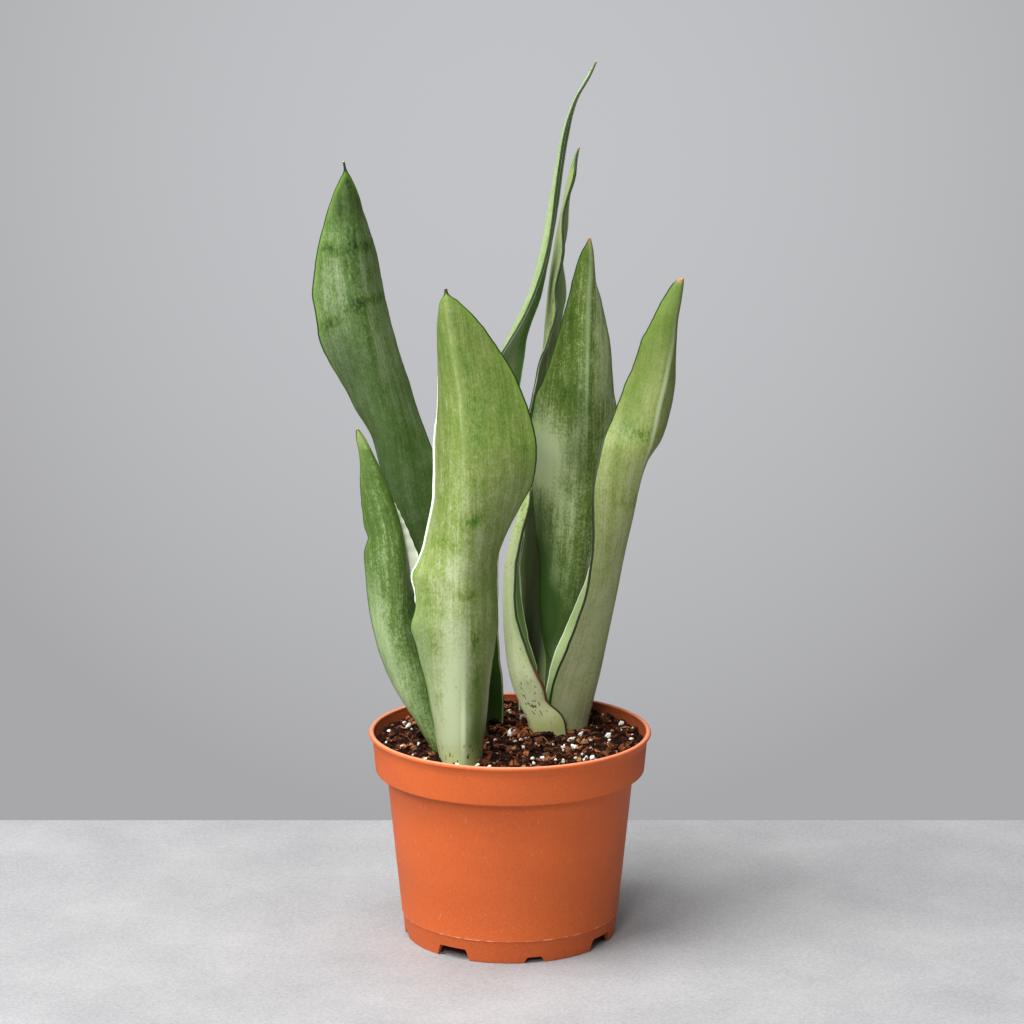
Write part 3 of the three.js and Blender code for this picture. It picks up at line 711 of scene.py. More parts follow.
def blade_draft(leaf):
    """A blade as a draft: a closed skin of sections, gathered towards the tip and ended in a dry point."""
    rows = leaf["rows"]
    bottom, top = rows[0][0], rows[-1][0]
    marks = [whole_mark(channel, mark) for channel, group in leaf["marks"].items() for mark in group]
    rings, levels = [], []
    for i in range(BLADE_RINGS + 1):
        z = top - TIP_DROP - (top - TIP_DROP - bottom) * (1 - i / BLADE_RINGS) ** RING_CROWDING
        loop = blade_section(leaf, z)
        rings.append([point for point, _, _ in loop])
        levels += [(*place, *painted(leaf, marks, u, z)) for _, u, place in loop]
    levels.append((*levels[-1][:3], TIP_CREAM, 0.5, *(float(channel == "dry") for channel in CHANNELS)))
    _, x, y, _, _, _ = row_at(rows, top)
    return Draft().add(*skin_over(rings, end=Vector((x, y, top))), **dict(zip((*PLACES, *CHANNELS), zip(*levels))))


# ---------------------------------------------------------------- leaves: skin


def living_leaf_skin(name, leaf, finish):
    """Living leaf under a waxy silver bloom: soft satin, finely mottled, streaked lengthwise by its fibres, with a
    dark hairline round each margin and a cream horny edge where that turns to the eye."""
    material, tree, shader = new_material(name)
    at = {channel: add_node(tree, "Attribute", attribute_name=channel).outputs["Fac"]
          for channel in (*PLACES, *CHANNELS)}
    deep_tone, green_tone, silver_tone = (
        tuple(a * b for a, b in zip(colour(code), finish.tint)) for code in leaf["tones"])

    # Noise sizes in mm across the blade, along it, and between its two faces.
    ground_place = add_node(tree, "CombineXYZ", [at["across"], at["height"], at["inner"]])
    factor = patterns(tree, ground_place, {
        "fibre": ((0.7, 18, 0.2), 3),  # real fibres lie 0.5 mm apart; drawn coarse enough to show
        "streak": ((3.2, 90, 0.2), 3),
        "mottle": ((5, 9, 0.2), 5),
        "patch": ((18, 34, 0.2), 3),
        "speck": ((1.3, 3.0, 0.2), 1),
        "grit": ((1.1, 1.6, 0.2), 3),
        "grain": ((1.6, 3.2, 0.2), 3),
    }, leaf["seed"])

    # Where each place stands between deep green and silver: the painted level, moved by the patterns round their
    # middle value, and pulled down in grains where a dark mark is painted.
    level = at["silver"]
    for pattern, weight in (("mottle", 0.5), ("streak", 0.6), ("fibre", 0.6), ("patch", 0.5), ("grit", 0.85)):
        centred = add_node(tree, "Math", [factor[pattern], 0.5], operation="SUBTRACT")
        level = add_node(tree, "Math", [centred, weight, level], operation="MULTIPLY_ADD")
    grains = add_node(tree, "MapRange", [factor["grain"], 0.38, 0.62, 0.25, 1.15])
    marks = add_node(tree, "Math", [at["dark"], grains], operation="MULTIPLY")
    level = add_node(tree, "Math", [level, marks], operation="SUBTRACT", use_clamp=True)
    ramp = add_node(tree, "ValToRGB", [level])
    elements = ramp.color_ramp.elements
    elements[0].color, elements[1].color = deep_tone, silver_tone
    elements.new(0.5).color = green_tone

    beside_keel = add_node(tree, "Math", [at["across"]], operation="ABSOLUTE")
    mask = {key: add_node(tree, "MapRange", steps, interpolation_type="SMOOTHSTEP") for key, steps in {
        # source, from low, from high, to low, to high
        "keel": (beside_keel, 0.3, 1.6, 1, 0),
        "lime": (at["edge_run"], 0.6, 5.5, 0.85, 0),
        "line": (at["edge_run"], 0.5, 1.0, 0.95, 0),
        "outside": (at["inner"], 0.5, 0.7, 1, 0),
        "inside": (at["inner"], 0.5, 0.7, 0, 1),
        "rim": (at["edge_run"], -0.15, 0.05, 1, 0),
        "lining": (at["edge_run"], 1.5, 9.0, 0.9, 0),
        "speck": (factor["speck"], 0.74, 0.8, 0, 0.7),
        "scar": (factor["speck"], 0.64, 0.67, 0, 1),
        "brown_edge": (at["edge_run"], 0.2, 2.2, 1, 0),
    }.items()}
    mask["midline"] = add_node(tree, "Math", [beside_keel, 1.3, 0.4], operation="COMPARE")
    shown = add_node(tree, "Math", [at["cream"], mask["inside"]], operation="MAXIMUM")
    strengths = {key: at[key] for key in ("keel", "lime", "scar", "brown_edge", "midline")}
    strengths |= {"line": mask["outside"], "lining": mask["inside"], "rim": shown}
    for key, strength in strengths.items():
        mask[key] = add_node(tree, "Math", [mask[key], strength], operation="MULTIPLY", use_clamp=True)

    skin = paint(tree, ramp.outputs[0], [
        (mask["speck"], deep_tone),
        # painted shade: recesses, leaf bases and sides turned from the light are darkened towards the deep tone
        (at["painted_shade"], deep_tone),
        (mask["lime"], tuple(finish.lime)),
        (mask["lining"], colour(leaf["lining"])),
        (at["yellow"], colour("#C9CF86")),
        (at["stripe"], colour("#C8D6A8")),
        # painted highlight: a pale line along the keel, where the ridge catches the light
        (mask["keel"], colour("#C2D2A0")),
        (mask["midline"], green_tone),
        (mask["scar"], colour("#3E3420")),
        (mask["line"], tuple(finish.line)),
        (mask["rim"], tuple(finish.rim)),
        (mask["brown_edge"], colour("#7A4A2C")),
        (at["dry"], colour("#B98A55")),
    ])
    matt = add_node(tree, "Math", [factor["mottle"], 0.16, finish.roughness - 0.08], operation="MULTIPLY_ADD")
    feed(tree, shader, {"Base Color": skin, "Roughness": matt, "IOR": 1.44})
    grainy = add_node(tree, "Math", [factor["grit"], 0.35, factor["fibre"]], operation="MULTIPLY_ADD")
    relief(tree, shader, grainy, 0.35, 0.25)
    return material


# ---------------------------------------------------------------- pot


def inner_radius(z):
    """Inside radius of the pot at a height above its floor."""
    if z < SHELF_TOP:
        return FOOT_RADIUS + BODY_SLOPE * z - WALL
    return lerp(BAND_BOTTOM_RADIUS, BAND_TOP_RADIUS, (z - SHELF_TOP) / (POT_HEIGHT - SHELF_TOP)) - WALL


def arc(centre_radius, centre_height, radius, start, stop, steps):
    """Profile points on an arc, angles in degrees from the outside up."""
    angles = [math.radians(lerp(start, stop, i / steps)) for i in range(steps + 1)]
    return [(centre_radius + radius * math.cos(a), centre_height + radius * math.sin(a)) for a in angles]


def pot_profile():
    """The pot's section as (radius, height) from the middle of the underside round to the inside."""
    def outer(z):
        return FOOT_RADIUS + BODY_SLOPE * z

    floor_top = FLOOR_HEIGHT + WALL
    lip_foot = POT_HEIGHT - 2 * LIP_BEAD
    foot_inside = FOOT_RADIUS - FOOT_WALL
    floor_edge = foot_inside - FOOT_DRAFT
    skirt = outer(0) - SKIRT_STEP
    seam, seam_radius = SKIRT_HEIGHT, outer(SKIRT_HEIGHT)
    blend = [(lerp(BAND_TOP_RADIUS - 0.5, LIP_RADIUS - 0.1, share * share),
              POT_HEIGHT - LIP_BLEND + share * (LIP_BLEND - LIP_BEAD)) for share in (i / 10 for i in range(9))]
    corner = arc(BAND_BOTTOM_RADIUS - BAND_ROUND - 0.1, BAND_BOTTOM + 0.6, BAND_ROUND, -75, 0, 5)
    shelf_in, shelf_out = inner_radius(SHELF_BOTTOM), inner_radius(SHELF_TOP)
    return [
        (0, FLOOR_HEIGHT), (floor_edge - 0.5, FLOOR_HEIGHT), (floor_edge, FLOOR_HEIGHT - 0.5),
        (foot_inside, 0.3), (foot_inside + 0.3, 0), (skirt - 0.5, 0), (skirt, 0.5), (outer(7) - SKIRT_STEP, 7),
        (seam_radius - SKIRT_STEP, seam - 0.5), (seam_radius - 0.15, seam - 0.3), (seam_radius + 0.1, seam - 0.05),
        (seam_radius + 0.1, seam + 0.2), (seam_radius, seam + 0.45), (outer(40), 40), (outer(70), 70),
        (outer(BAND_BOTTOM - STEP_DROP - 1), BAND_BOTTOM - STEP_DROP - 1),
        (outer(BAND_BOTTOM) + 0.3, BAND_BOTTOM - STEP_DROP),
        (BODY_TOP_RADIUS + 3, BAND_BOTTOM - 0.9),
        *corner,
        (lerp(BAND_BOTTOM_RADIUS, BAND_TOP_RADIUS, 0.3), lerp(BAND_BOTTOM, POT_HEIGHT, 0.3)),
        *blend,
        *arc(LIP_RADIUS - LIP_BEAD, POT_HEIGHT - LIP_BEAD, LIP_BEAD, -8, 188, 16),
        (inner_radius(lip_foot), lip_foot),
        (shelf_out, SHELF_TOP + 0.6), (shelf_out - 0.4, SHELF_TOP), (shelf_in + 0.3, SHELF_BOTTOM),
        (shelf_in, SHELF_BOTTOM - 0.5), (inner_radius(floor_top + 3), floor_top + 3),
        (inner_radius(floor_top) - 2, floor_top + 0.5), (inner_radius(floor_top) - 4, floor_top), (0, floor_top),
    ]


def pot_draft():
    """The profile turned round the pot's axis, on which its first and last points lie."""
    bottom, *turned, top = pot_profile()
    return Draft().add(*skin_over([ring(radius, z, POT_SEGMENTS) for radius, z in turned],
                                  Vector((0, 0, bottom[1])), Vector((0, 0, top[1]))))


def foot_cutters():
    """Everything cut out of the pot: the notches through its foot ring and the drain holes in its floor."""
    draft = Draft()
    start, depth = NOTCH_CUT
    for i in range(2 * NOTCH_PAIRS):
        width, height = NOTCH_SIZES[i % 2]
        half, top = width / 2, width / 2 - NOTCH_FLARE
        outline = [(-half, -1), (half, -1), (top + 0.3, height - 0.9), (top - 0.5, height), (0, height),
                   (-top + 0.5, height), (-top - 0.3, height - 0.9)]
        turn = math.radians(NOTCH_FIRST + i * 180 / NOTCH_PAIRS)
        c, s = math.cos(turn), math.sin(turn)
        draft.add(*skin_over([[Vector((x * c + reach * s, x * s - reach * c, z)) for x, z in outline]
                              for reach in (FOOT_RADIUS + start - depth, FOOT_RADIUS + start)]))
    for i in range(DRAIN_COUNT):
        angle = math.radians(NOTCH_FIRST) + 2 * math.pi * i / DRAIN_COUNT
        x, y = DRAIN_RING * math.sin(angle), -DRAIN_RING * math.cos(angle)
        draft.add(*skin_over([ring(DRAIN_RADIUS, z, DRAIN_SIDES, x, y)
                              for z in (FLOOR_HEIGHT - 2 * WALL, FLOOR_HEIGHT + 2 * WALL)]))
    return draft


def moulded_polypropylene(finish):
    """Polypropylene moulded in a terracotta colour: an even, slightly sparkling satin, rubbed pale along the
    moulded line and the foot, with a few hair scratches and darker scuffs; a painted highlight along the lip,
    and painted shade on the inside wall and darkening towards the foot."""
    material, tree, shader = new_material("moulded_polypropylene")
    place = place_in_mm(tree)
    height = add_node(tree, "SeparateXYZ", [place]).outputs[2]
    # Distance from the pot's axis, less the band's draft, to tell its inside wall, where shade is painted, from
    # its outside.
    level = add_node(tree, "VectorMath", [place, (1, 1, 0), (-POT_AXIS_X, 0, 0)], operation="MULTIPLY_ADD")
    radius = add_node(tree, "VectorMath", [level], operation="LENGTH").outputs["Value"]
    draft = add_node(tree, "Math", [height, -BAND_DRAFT, BAND_DRAFT * BAND_BOTTOM], operation="MULTIPLY_ADD")
    depth = add_node(tree, "Math", [radius, draft], operation="ADD")
    factor = patterns(tree, place, {
        "cloud": ((38, 38, 24), 3),
        "grain": (1.1, 3),  # the mould's fine texture, drawn coarse enough to show
        "dust": (0.8, 1),
        "wear": ((7, 7, 40), 4),
        "scratch": ((1.2, 26, 9), 2),
        "scuff": ((3, 3, 1.6), 2),
    }, 2.0)
    mask = {key: add_node(tree, "MapRange", steps, interpolation_type="SMOOTHSTEP") for key, steps in {
        # source, from low, from high, to low, to high
        "seam": (height, SKIRT_HEIGHT - 0.75, SKIRT_HEIGHT - 0.25, 0, 1),
        "seam_top": (height, SKIRT_HEIGHT + 0.25, SKIRT_HEIGHT + 0.7, 1, 0),
        "seam_wear": (factor["wear"], 0.48, 0.62, 0.08, 0.7),
        "cloud": (factor["cloud"], 0.35, 0.7, 0, 0.22),
        "grain": (factor["grain"], 0.3, 0.7, 0, 0.2),
        "dust": (factor["dust"], 0.7, 0.76, 0, 0.35),
        "scratch": (factor["scratch"], 0.7, 0.75, 0, 0.3),
        "scuff": (factor["scuff"], 0.72, 0.78, 0, 0.5),
        "painted_low_shade": (height, SKIRT_HEIGHT - 4, BAND_BOTTOM - 20, 0.42, 0),
        "lip": (height, POT_HEIGHT - 0.9, POT_HEIGHT - 0.2, 0, 0.6),
        "inside": (depth, 80.4, 80.9, 0.8, 0),
        "above": (height, BAND_BOTTOM - 1, BAND_BOTTOM + 1, 0, 1),
    }.items()}
    for key, other in (("seam", "seam_top"), ("seam", "seam_wear"), ("inside", "above")):
        mask[key] = add_node(tree, "Math", [mask[key], mask[other]], operation="MULTIPLY")
    wear_and_highlight = tuple(finish.wear_and_highlight)
    skin = paint(tree, tuple(finish.plastic), [
        # painted shade on the inside wall above the band
        (mask["inside"], colour("#6E3016")),
        # painted shade: the wall darkens towards the foot
        (mask["painted_low_shade"], colour("#A4481E")),
        (mask["cloud"], colour("#B04C24")),
        (mask["grain"], colour("#E08455")),
        (mask["dust"], wear_and_highlight),
        (mask["scratch"], wear_and_highlight),
        (mask["scuff"], colour("#8A3C20")),
        # painted highlight: a thin pale line along the top of the lip
        (mask["lip"], wear_and_highlight),
        (mask["seam"], wear_and_highlight),
    ])
    matt = add_node(tree, "Math", [factor["grain"], 0.18, finish.roughness - 0.09], operation="MULTIPLY_ADD")
    # The mould's fine texture breaks up the gloss.
    feed(tree, shader, {"Base Color": skin, "Roughness": matt, "IOR": 1.49, "Specular IOR Level": 0.22})
    relief(tree, shader, factor["grain"], 0.5, 0.12)
    return material


# ---------------------------------------------------------------- potting mix


def crumbly_height(x, y):
    """Height of the mix's lumpy top with its crumbs and hollows, at a place from the pot's axis."""
    reach = math.hypot(x, y) / inner_radius(MIX_LEVEL)
    mound = MIX_MOUND * (1 - reach * reach) - MIX_MOUND / 2
    lumps = (math.sin(x * 0.31 + 1.7) * math.cos(y * 0.27 - 0.6)
             + 0.6 * math.sin(x * 0.53 - y * 0.41 + 0.9) + 0.4 * math.cos(x * 0.72 + y * 0.66))
    spot = Vector((x, y, 0))
    coarse = noise.noise(spot / 7 + Vector((3, 1, 0)))
    fine = noise.noise(spot / 2.6 + Vector((0, 9, 4)))
    return MIX_LEVEL + mound + MIX_TILT * y + MIX_LUMP * lumps + MIX_HOLLOW * coarse + MIX_CRUMB * fine


def mix_draft():
    """The mix as a closed plug that fills the pot, with a finely crumbled top."""
    floor_top = FLOOR_HEIGHT + WALL + MIX_CLEARANCE + 0.6
    wall = [(inner_radius(z) - MIX_CLEARANCE - drawn_in, z) for z, drawn_in in (
        (floor_top, MIX_FOOT_ROUND), (SHELF_BOTTOM + MIX_CLEARANCE / 2, 0), (SHELF_TOP + 2 * MIX_CLEARANCE, 0))]
    rings = [ring(radius, z, MIX_SECTORS) for radius, z in wall]
    brim = inner_radius(MIX_LEVEL - MIX_BRIM_DROP) - MIX_CLEARANCE
    for r in range(MIX_RINGS, 0, -1):
        level = ring(brim * r / MIX_RINGS, 0, MIX_SECTORS)
        rings.append([Vector((x, y, crumbly_height(x, y))) for x, y, _ in level])
    return Draft().add(*skin_over(rings, Vector((0, 0, floor_top)), Vector((0, 0, crumbly_height(0, 0)))))


def inside(outline, x, y):
    """Whether a place lies within an outline."""
    hit = False
    for (x0, y0), (x1, y1) in zip(outline, outline[1:] + outline[:1]):
        if (y0 > y) != (y1 > y) and x < (x1 - x0) * (y - y0) / (y1 - y0) + x0:
            hit = not hit
    return hit


def free_places(draw, count, keep_off, brim_gap):
    """Random places on the mix that keep off the leaves and the pot's wall."""
    outlines = [[(p.x, p.y) for p, _, _ in blade_section(leaf, MIX_LEVEL + 1, keep_off)]
                for leaf in LEAVES.values()]
    limit = inner_radius(MIX_LEVEL) - brim_gap
    places = []
    while len(places) < count:
        radius = limit * math.sqrt(draw.random())
        angle = draw.uniform(0, 2 * math.pi)
        x, y = radius * math.cos(angle), radius * math.sin(angle)
        if not any(inside(outline, x, y) for outline in outlines):
            places.append((x, y))
    return places


def ball(level):
    """Points and faces of a unit ball of triangles."""
    golden = (1 + math.sqrt(5)) / 2
    points = [Vector(p).normalized() for a in (-1, 1) for b in (-golden, golden)
              for p in ((a, b, 0), (0, a, b), (b, 0, a))]
    faces = []
    for a, b, c in combinations(range(len(points)), 3):
        p, q, r = points[a], points[b], points[c]
        if max((p - q).length, (q - r).length, (r - p).length) < BALL_EDGE:
            faces.append((a, b, c) if (q - p).cross(r - p).dot(p) > 0 else (a, c, b))
    for _ in range(level):
        middles = {}

        def middle(a, b):
            key = (min(a, b), max(a, b))
            if key not in middles:
                middles[key] = len(points)
                points.append(((points[a] + points[b]) / 2).normalized())
            return middles[key]

        finer = []
        for a, b, c in faces:
            ab, bc, ca = middle(a, b), middle(b, c), middle(c, a)
            finer += [(a, ab, ca), (b, bc, ab), (c, ca, bc), (ab, bc, ca)]
        faces = finer
    return points, faces


def scatter_grains(draft, draw, places, sizes, level, roughness, sink, flat):
    """Rough rounded grains on the mix: each a ball pushed out of shape, flattened and turned."""
    points, faces = ball(level)
    for x, y in places:
        size = sizes[0] * (sizes[1] / sizes[0]) ** (draw.random() ** 2)
        stretch = Vector((draw.uniform(0.8, 1.3), draw.uniform(0.75, 1.1), draw.uniform(*flat))) * size
        spot = Vector((draw.uniform(0, 50), draw.uniform(0, 50), draw.uniform(0, 50)))
        turn = draw.uniform(0, 2 * math.pi)
        lean = draw.uniform(-0.5, 0.5)
        c, s = math.cos(turn), math.sin(turn)
        centre = Vector((x, y, crumbly_height(x, y) + size * sink))
        made = []
        for p in points:
            bulge = 1 + roughness * noise.noise(p * 1.3 + spot) + 0.5 * roughness * noise.noise(p * 3.1 + spot)
            q = p * stretch * bulge
            q.z += lean * q.x
            made.append(centre + Vector((q.x * c - q.y * s, q.x * s + q.y * c, q.z)))
        draft.add(made, faces, tint=draw.random())


def scatter_chips(draft, draw, places):
    """Splintered bark chips: thin, curled flakes with ragged ends, lying at odd angles."""
    for x, y in places:
        length = draw.uniform(2, 6.5)
        width = length * draw.uniform(0.25, 0.6)
        thick = draw.uniform(0.35, 0.9)
        curl = draw.uniform(-0.12, 0.22)
        turn, lean, roll = draw.uniform(0, 2 * math.pi), draw.gauss(0, 0.35), draw.gauss(0, 0.4)
        ct, st, cl, sl, cr, sr = (f(angle) for angle in (turn, lean, roll) for f in (math.cos, math.sin))
        centre = Vector((x, y, crumbly_height(x, y) + thick * 0.6 + abs(sl) * length * 0.3))
        rings = []
        for i in range(5):
            t = i / 2 - 1
            half = width / 2 * (1 - 0.75 * abs(t) ** 2.5) * draw.uniform(0.75, 1.15)
            along = t * length / 2
            sag = curl * along * along
            drift = draw.uniform(-0.15, 0.15) * width
            made = []
            for side, up in ((-1, 1), (0, 1.25), (1, 1), (1, -1), (-1, -1)):
                aside, rise = drift + side * half * draw.uniform(0.85, 1.1), sag + up * thick / 2
                aside, rise = aside * cr - rise * sr, aside * sr + rise * cr
                ahead, rise = along * cl - rise * sl, along * sl + rise * cl
                made.append(centre + Vector((ahead * ct - aside * st, ahead * st + aside * ct, rise)))
            rings.append(made)
        points, faces = skin_over(rings)
        draft.add(points, [face[::-1] for face in faces], tint=draw.random())


def strand(draft, path, radius, tint, sides=5):
    """A thin strand along a path, drawn out to a point at both ends."""
    count, rings = len(path), []
    for i, p in enumerate(path):
        ahead = (path[min(i + 1, count - 1)] - path[max(i - 1, 0)]).normalized()
        aside = ahead.cross(Vector((0.1, 0.2, 1))).normalized()
        up = aside.cross(ahead)
        ends = [math.sin(math.pi * min(1, near / (count * 0.5)) / 2) for near in (i + 0.6, count - i - 0.4)]
        taper = radius * (0.25 + 0.75 * ends[0] * ends[1])
        rings.append([p + (aside * a.x + up * a.y) * taper for a in ring(1, 0, sides)])
    draft.add(*skin_over(rings), tint=tint)


def crumb_finish(name, stops, roughness, grain, depth):
    """A dry or moist crumb of the mix: matt, its colour picked piece by piece from a short range."""
    material, tree, shader = new_material(name)
    factor = patterns(tree, place_in_mm(tree), {"blotch": (grain * 2.5, 3), "grain": (grain, 3)}, 1.0)
    tint = add_node(tree, "Attribute", attribute_name="tint").outputs["Fac"]
    mixed = add_node(tree, "Math", [factor["blotch"], 0.5, -0.25], operation="MULTIPLY_ADD")
    level = add_node(tree, "Math", [tint, mixed], operation="ADD", use_clamp=True)
    ramp = add_node(tree, "ValToRGB", [level])
    elements = ramp.color_ramp.elements
    elements.remove(elements[0])
    elements[0].position, elements[0].color = stops[-1][0], colour(stops[-1][1])
    for position, code in stops[:-1]:
        elements.new(position).color = colour(code)
    feed(tree, shader, {"Base Color": ramp, "Roughness": roughness, "Specular IOR Level": 0.15})
    relief(tree, shader, factor["grain"], 0.8, depth)
    return material


def moist_peat(finish):
    """Moist peat and composted bark: nearly black in broad blotches, brown on its crumbs, with fine paler specks.
    """
    material, tree, shader = new_material("moist_peat")
    factor = patterns(tree, place_in_mm(tree), {"clump": (9, 3), "crumb": (2.4, 4), "grain": (0.7, 2)}, 4.0)
    skin = tuple(finish.peat)
    for key, low, high, most, code in (("clump", 0.42, 0.62, 0.6, "#0B0503"), ("crumb", 0.5, 0.7, 0.7, "#3A1D10"),
                                       ("grain", 0.62, 0.75, 0.5, "#6A3C24")):
        mask = add_node(tree, "MapRange", [factor[key], low, high, 0, most], interpolation_type="SMOOTHSTEP")
        skin = paint(tree, skin, [(mask, colour(code))])
    crumbly = add_node(tree, "Math", [factor["grain"], 0.4, factor["crumb"]], operation="MULTIPLY_ADD")
    feed(tree, shader, {"Base Color": skin, "Roughness": 0.8, "Specular IOR Level": 0.1})
    relief(tree, shader, crumbly, 1.0, 1.2)
    return material


# ---------------------------------------------------------------- operators


class PLANT_OT_mould_pot(bpy.types.Operator):
    """Moulds the pot: rolled lip, deep band, tapered wall, moulded line and notched foot"""

    bl_idname = "plant.mould_pot"
    bl_label = "Mould the pot"

    def execute(self, context):
        pot = pot_draft().piece("moulded_pot", moulded_polypropylene(context.scene.plant_pot), "pot")
        cutter = bpy.data.objects.new("foot_cutters", foot_cutters().mesh("foot_cutters"))
        context.scene.collection.objects.link(cutter)
        cut = pot.modifiers.new("notches", "BOOLEAN")
        cut.operation, cut.solver, cut.object = "DIFFERENCE", "EXACT", cutter
        context.view_layer.update()
        whole = bpy.data.meshes.new_from_object(pot.evaluated_get(context.evaluated_depsgraph_get()))
        pot.modifiers.clear()
        pot.data = whole
        bpy.data.objects.remove(cutter)
        whole.shade_smooth()
        whole.set_sharp_from_angle(angle=math.radians(38))
        if not whole.polygons:
            raise RuntimeError("the pot came out empty")
        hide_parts("pot")
        return {"FINISHED"}


class PLANT_OT_fill_mix(bpy.types.Operator):
    """Fills the pot with potting mix"""

    bl_idname = "plant.fill_mix"
    bl_label = "Fill in the potting mix"

    def execute(self, context):
        plug = mix_draft().piece("potting_mix", moist_peat(context.scene.plant_mix), "soil")
        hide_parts("soil")
        return {"FINISHED"}


class PLANT_OT_scatter_grains(bpy.types.Operator):
    """Scatters crumbs of peat, chips of bark and white grains of perlite over the mix"""

    bl_idname = "plant.scatter_grains"
    bl_label = "Scatter the loose grains"

    def execute(self, context):
        mix = context.scene.plant_mix
        counts = {"peat_crumbs": mix.crumbs, "bark_chips": mix.bark, "perlite_grains": mix.perlite}
        for name, (seed, keep_off, brim_gap, form, smooth, finish) in LOOSE_MATTER.items():
            draw, draft = random.Random(seed), Draft()
            places = free_places(draw, counts[name], keep_off, brim_gap)
            if form:
                scatter_grains(draft, draw, places, *form)
            else:
                scatter_chips(draft, draw, places)
            draft.piece(name, crumb_finish(*finish), "soil", smooth)
        return {"FINISHED"}


class PLANT_OT_lay_roots(bpy.types.Operator):
    """Lays fine dry roots on the mix, and thicker ones and a torn husk in front of the small leaf"""

    bl_idname = "plant.lay_roots"
    bl_label = "Lay the roots"

    def execute(self, context):
        draw, draft = random.Random(ROOT_SEED), Draft()
        for x, y in free_places(draw, context.scene.plant_mix.roots, 1, 12):
            heading, bend = draw.uniform(0, 2 * math.pi), draw.uniform(-0.35, 0.35)
            step, lift = draw.uniform(0.8, 1.6), draw.uniform(0.6, 2.4)
            path = []
            for i in range(10):
                hump = lift * math.sin(math.pi * i / 9)
                path.append(Vector((x, y, crumbly_height(x, y) + 0.2 + hump)))
                x += step * math.cos(heading)
                y += step * math.sin(heading)
                heading += bend + draw.uniform(-0.25, 0.25)
            strand(draft, path, draw.uniform(0.12, 0.3), draw.random())
        for x, y, lean, height, radius in THICK_ROOTS:
            low = crumbly_height(x, y) - 1
            path = [Vector((x + lean * (i / 9) ** 2, y, low + height * math.sin(math.pi * i / 18)))
                    for i in range(10)]
            strand(draft, path, radius, 0.3)
        x, y = HUSK_PLACE
        for i in range(HUSK_SCALES):
            heading = 2 * math.pi * i / HUSK_SCALES + draw.uniform(-0.3, 0.3)
            reach, rise = draw.uniform(5, 9), draw.uniform(1, 5)
            path = [Vector((x + math.cos(heading) * reach * k / 6, y + math.sin(heading) * reach * k / 6,
                            crumbly_height(x, y) + 3 + rise * math.sin(math.pi * k / 7))) for k in range(7)]
            strand(draft, path, draw.uniform(0.8, 1.3), draw.uniform(0.4, 0.8), 6)
        draft.piece("root_fibres", crumb_finish(*ROOT_FINISH), "soil")
        return {"FINISHED"}


class PLANT_OT_grow_leaves(bpy.types.Operator):
    """Grows the eight leaves, each with its own skin"""

    bl_idname = "plant.grow_leaves"
    bl_label = "Grow the leaves"

    def execute(self, context):
        for name, leaf in LEAVES.items():
            skin = living_leaf_skin("living_leaf_skin_" + name, leaf, context.scene.plant_leaf)
            blade = blade_draft(leaf).piece("blade_" + name, skin, "leaf")
            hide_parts("leaf_" + name)
        return {"FINISHED"}


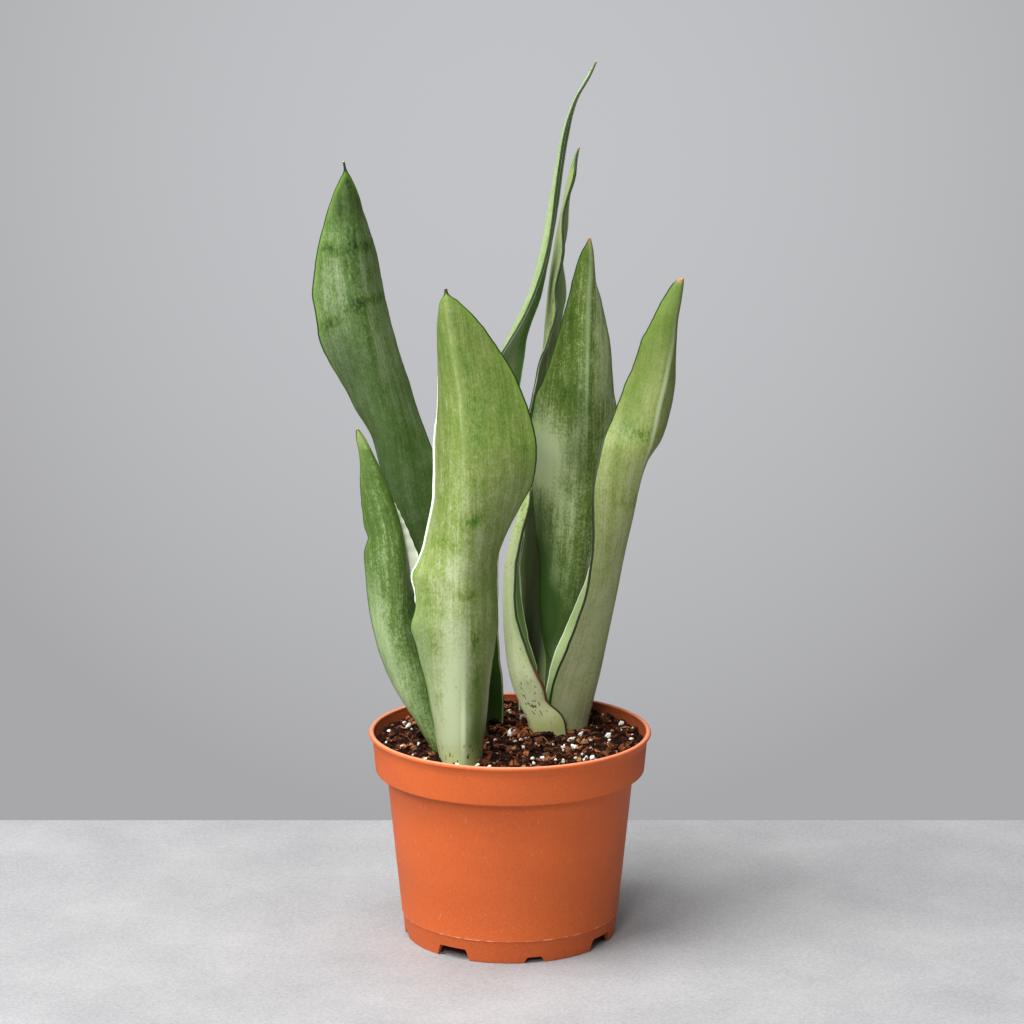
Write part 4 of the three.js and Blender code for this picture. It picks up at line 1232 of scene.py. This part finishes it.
class PLANT_OT_set_stage(bpy.types.Operator):
    """Sets the pale table, the soft lights and the camera"""

    bl_idname = "plant.set_stage"
    bl_label = "Set the stage"

    def execute(self, context):
        scene = context.scene
        stage = scene.plant_stage
        scene.view_settings.view_transform = "Standard"
        scene.view_settings.look = "None"

        # Honed concrete: a fine even grain with faint clouds.
        material, tree, shader = new_material("honed_concrete")
        factor = patterns(tree, place_in_mm(tree), {"cloud": (60, 4), "grain": (1.8, 3)}, 6.0)
        mottle = add_node(tree, "Math", [factor["cloud"], 0.6, factor["grain"]], operation="MULTIPLY_ADD")
        level = add_node(tree, "MapRange", [mottle, 0.5, 1.1])
        ground = paint(tree, colour("#929294"), [(level, tuple(stage.table))])
        feed(tree, shader, {"Base Color": ground, "Roughness": 0.6})
        mesh = bpy.data.meshes.new("table")
        mesh.from_pydata([(x, y, 0) for x, y in (
            (-TABLE_REACH, -TABLE_REACH), (TABLE_REACH, -TABLE_REACH),
            (TABLE_REACH, TABLE_BACK), (-TABLE_REACH, TABLE_BACK))], [], [(0, 1, 2, 3)])
        mesh.materials.append(material)
        table = bpy.data.objects.new("table", mesh)
        scene.collection.objects.link(table)

        scene.world = bpy.data.worlds.new("studio")
        scene.world.use_nodes = True
        tree = scene.world.node_tree
        tree.nodes.clear()
        # The wall behind is lit softly in its middle and falls off towards the sides and the table.
        toward = add_node(tree, "TexCoord").outputs["Generated"]
        near = add_node(tree, "VectorMath", [toward, (0, math.cos(GLOW_DROP), -math.sin(GLOW_DROP))],
                        operation="DOT_PRODUCT")
        glow = add_node(tree, "MapRange", [near.outputs["Value"], 0.975, 1.0])
        wall = paint(tree, colour("#A8A8AA"), [(glow, colour("#C2C3C6"))])
        seen = add_node(tree, "Background", [wall, 1])
        felt = add_node(tree, "Background", [colour("#F4F6FA"), stage.fill])
        which = add_node(tree, "LightPath").outputs["Is Camera Ray"]
        add_node(tree, "OutputWorld", [add_node(tree, "MixShader", [which, felt, seen])])

        for name, power, azimuth, elevation, distance, size in (
            ("key_softbox", stage.key_power, -62, 53, 2.8, 2.2),
            ("front_softbox", stage.front_power, -12, 30, 2.8, 0.6),
            ("top_softbox", stage.top_power, -20, 84, 2.6, 1.8),
        ):
            a, e = math.radians(azimuth), math.radians(elevation)
            away = Vector((math.sin(a) * math.cos(e), -math.cos(a) * math.cos(e), math.sin(e)))
            light = bpy.data.lights.new(name, "AREA")
            light.size, light.energy = size, power
            lamp = bpy.data.objects.new(name, light)
            lamp.location = Vector(LIT_PLACE) + away * distance
            lamp.rotation_euler = away.to_track_quat("Z", "Y").to_euler()
            scene.collection.objects.link(lamp)

        view = bpy.data.cameras.new("camera")
        view.sensor_width, view.lens, view.shift_x = SENSOR_WIDTH, LENS, SHIFT
        view.clip_start, view.clip_end = 0.1, 20
        camera = bpy.data.objects.new("camera", view)
        camera.location = CAMERA_PLACE
        camera.rotation_euler = (math.radians(90 - CAMERA_TILT), 0, 0)
        scene.collection.objects.link(camera)
        scene.camera = camera
        return {"FINISHED"}


class PLANT_PT_panel(bpy.types.Panel):
    """Lists the plant's operators"""

    bl_idname = "PLANT_PT_panel"
    bl_label = "Potted snake plant"
    bl_space_type = "VIEW_3D"
    bl_region_type = "UI"
    bl_category = "Plant"

    def draw(self, context):
        for operator in OPERATORS:
            self.layout.operator(operator.bl_idname)


SETTINGS = {"plant_pot": PotSettings, "plant_leaf": LeafSettings, "plant_mix": MixSettings,
            "plant_stage": StageSettings}
OPERATORS = (PLANT_OT_mould_pot, PLANT_OT_fill_mix, PLANT_OT_scatter_grains, PLANT_OT_lay_roots,
             PLANT_OT_grow_leaves, PLANT_OT_set_stage)


def register():
    for name, group in SETTINGS.items():
        bpy.utils.register_class(group)
        setattr(bpy.types.Scene, name, PointerProperty(type=group))
    for shown in (*OPERATORS, PLANT_PT_panel):
        bpy.utils.register_class(shown)


def unregister():
    for shown in (PLANT_PT_panel, *reversed(OPERATORS)):
        bpy.utils.unregister_class(shown)
    for name, group in SETTINGS.items():
        delattr(bpy.types.Scene, name)
        bpy.utils.unregister_class(group)


def main():
    register()
    bpy.ops.plant.mould_pot()
    bpy.ops.plant.fill_mix()
    bpy.ops.plant.scatter_grains()
    bpy.ops.plant.lay_roots()
    bpy.ops.plant.grow_leaves()
    bpy.ops.plant.set_stage()


if __name__ == "__main__":
    main()
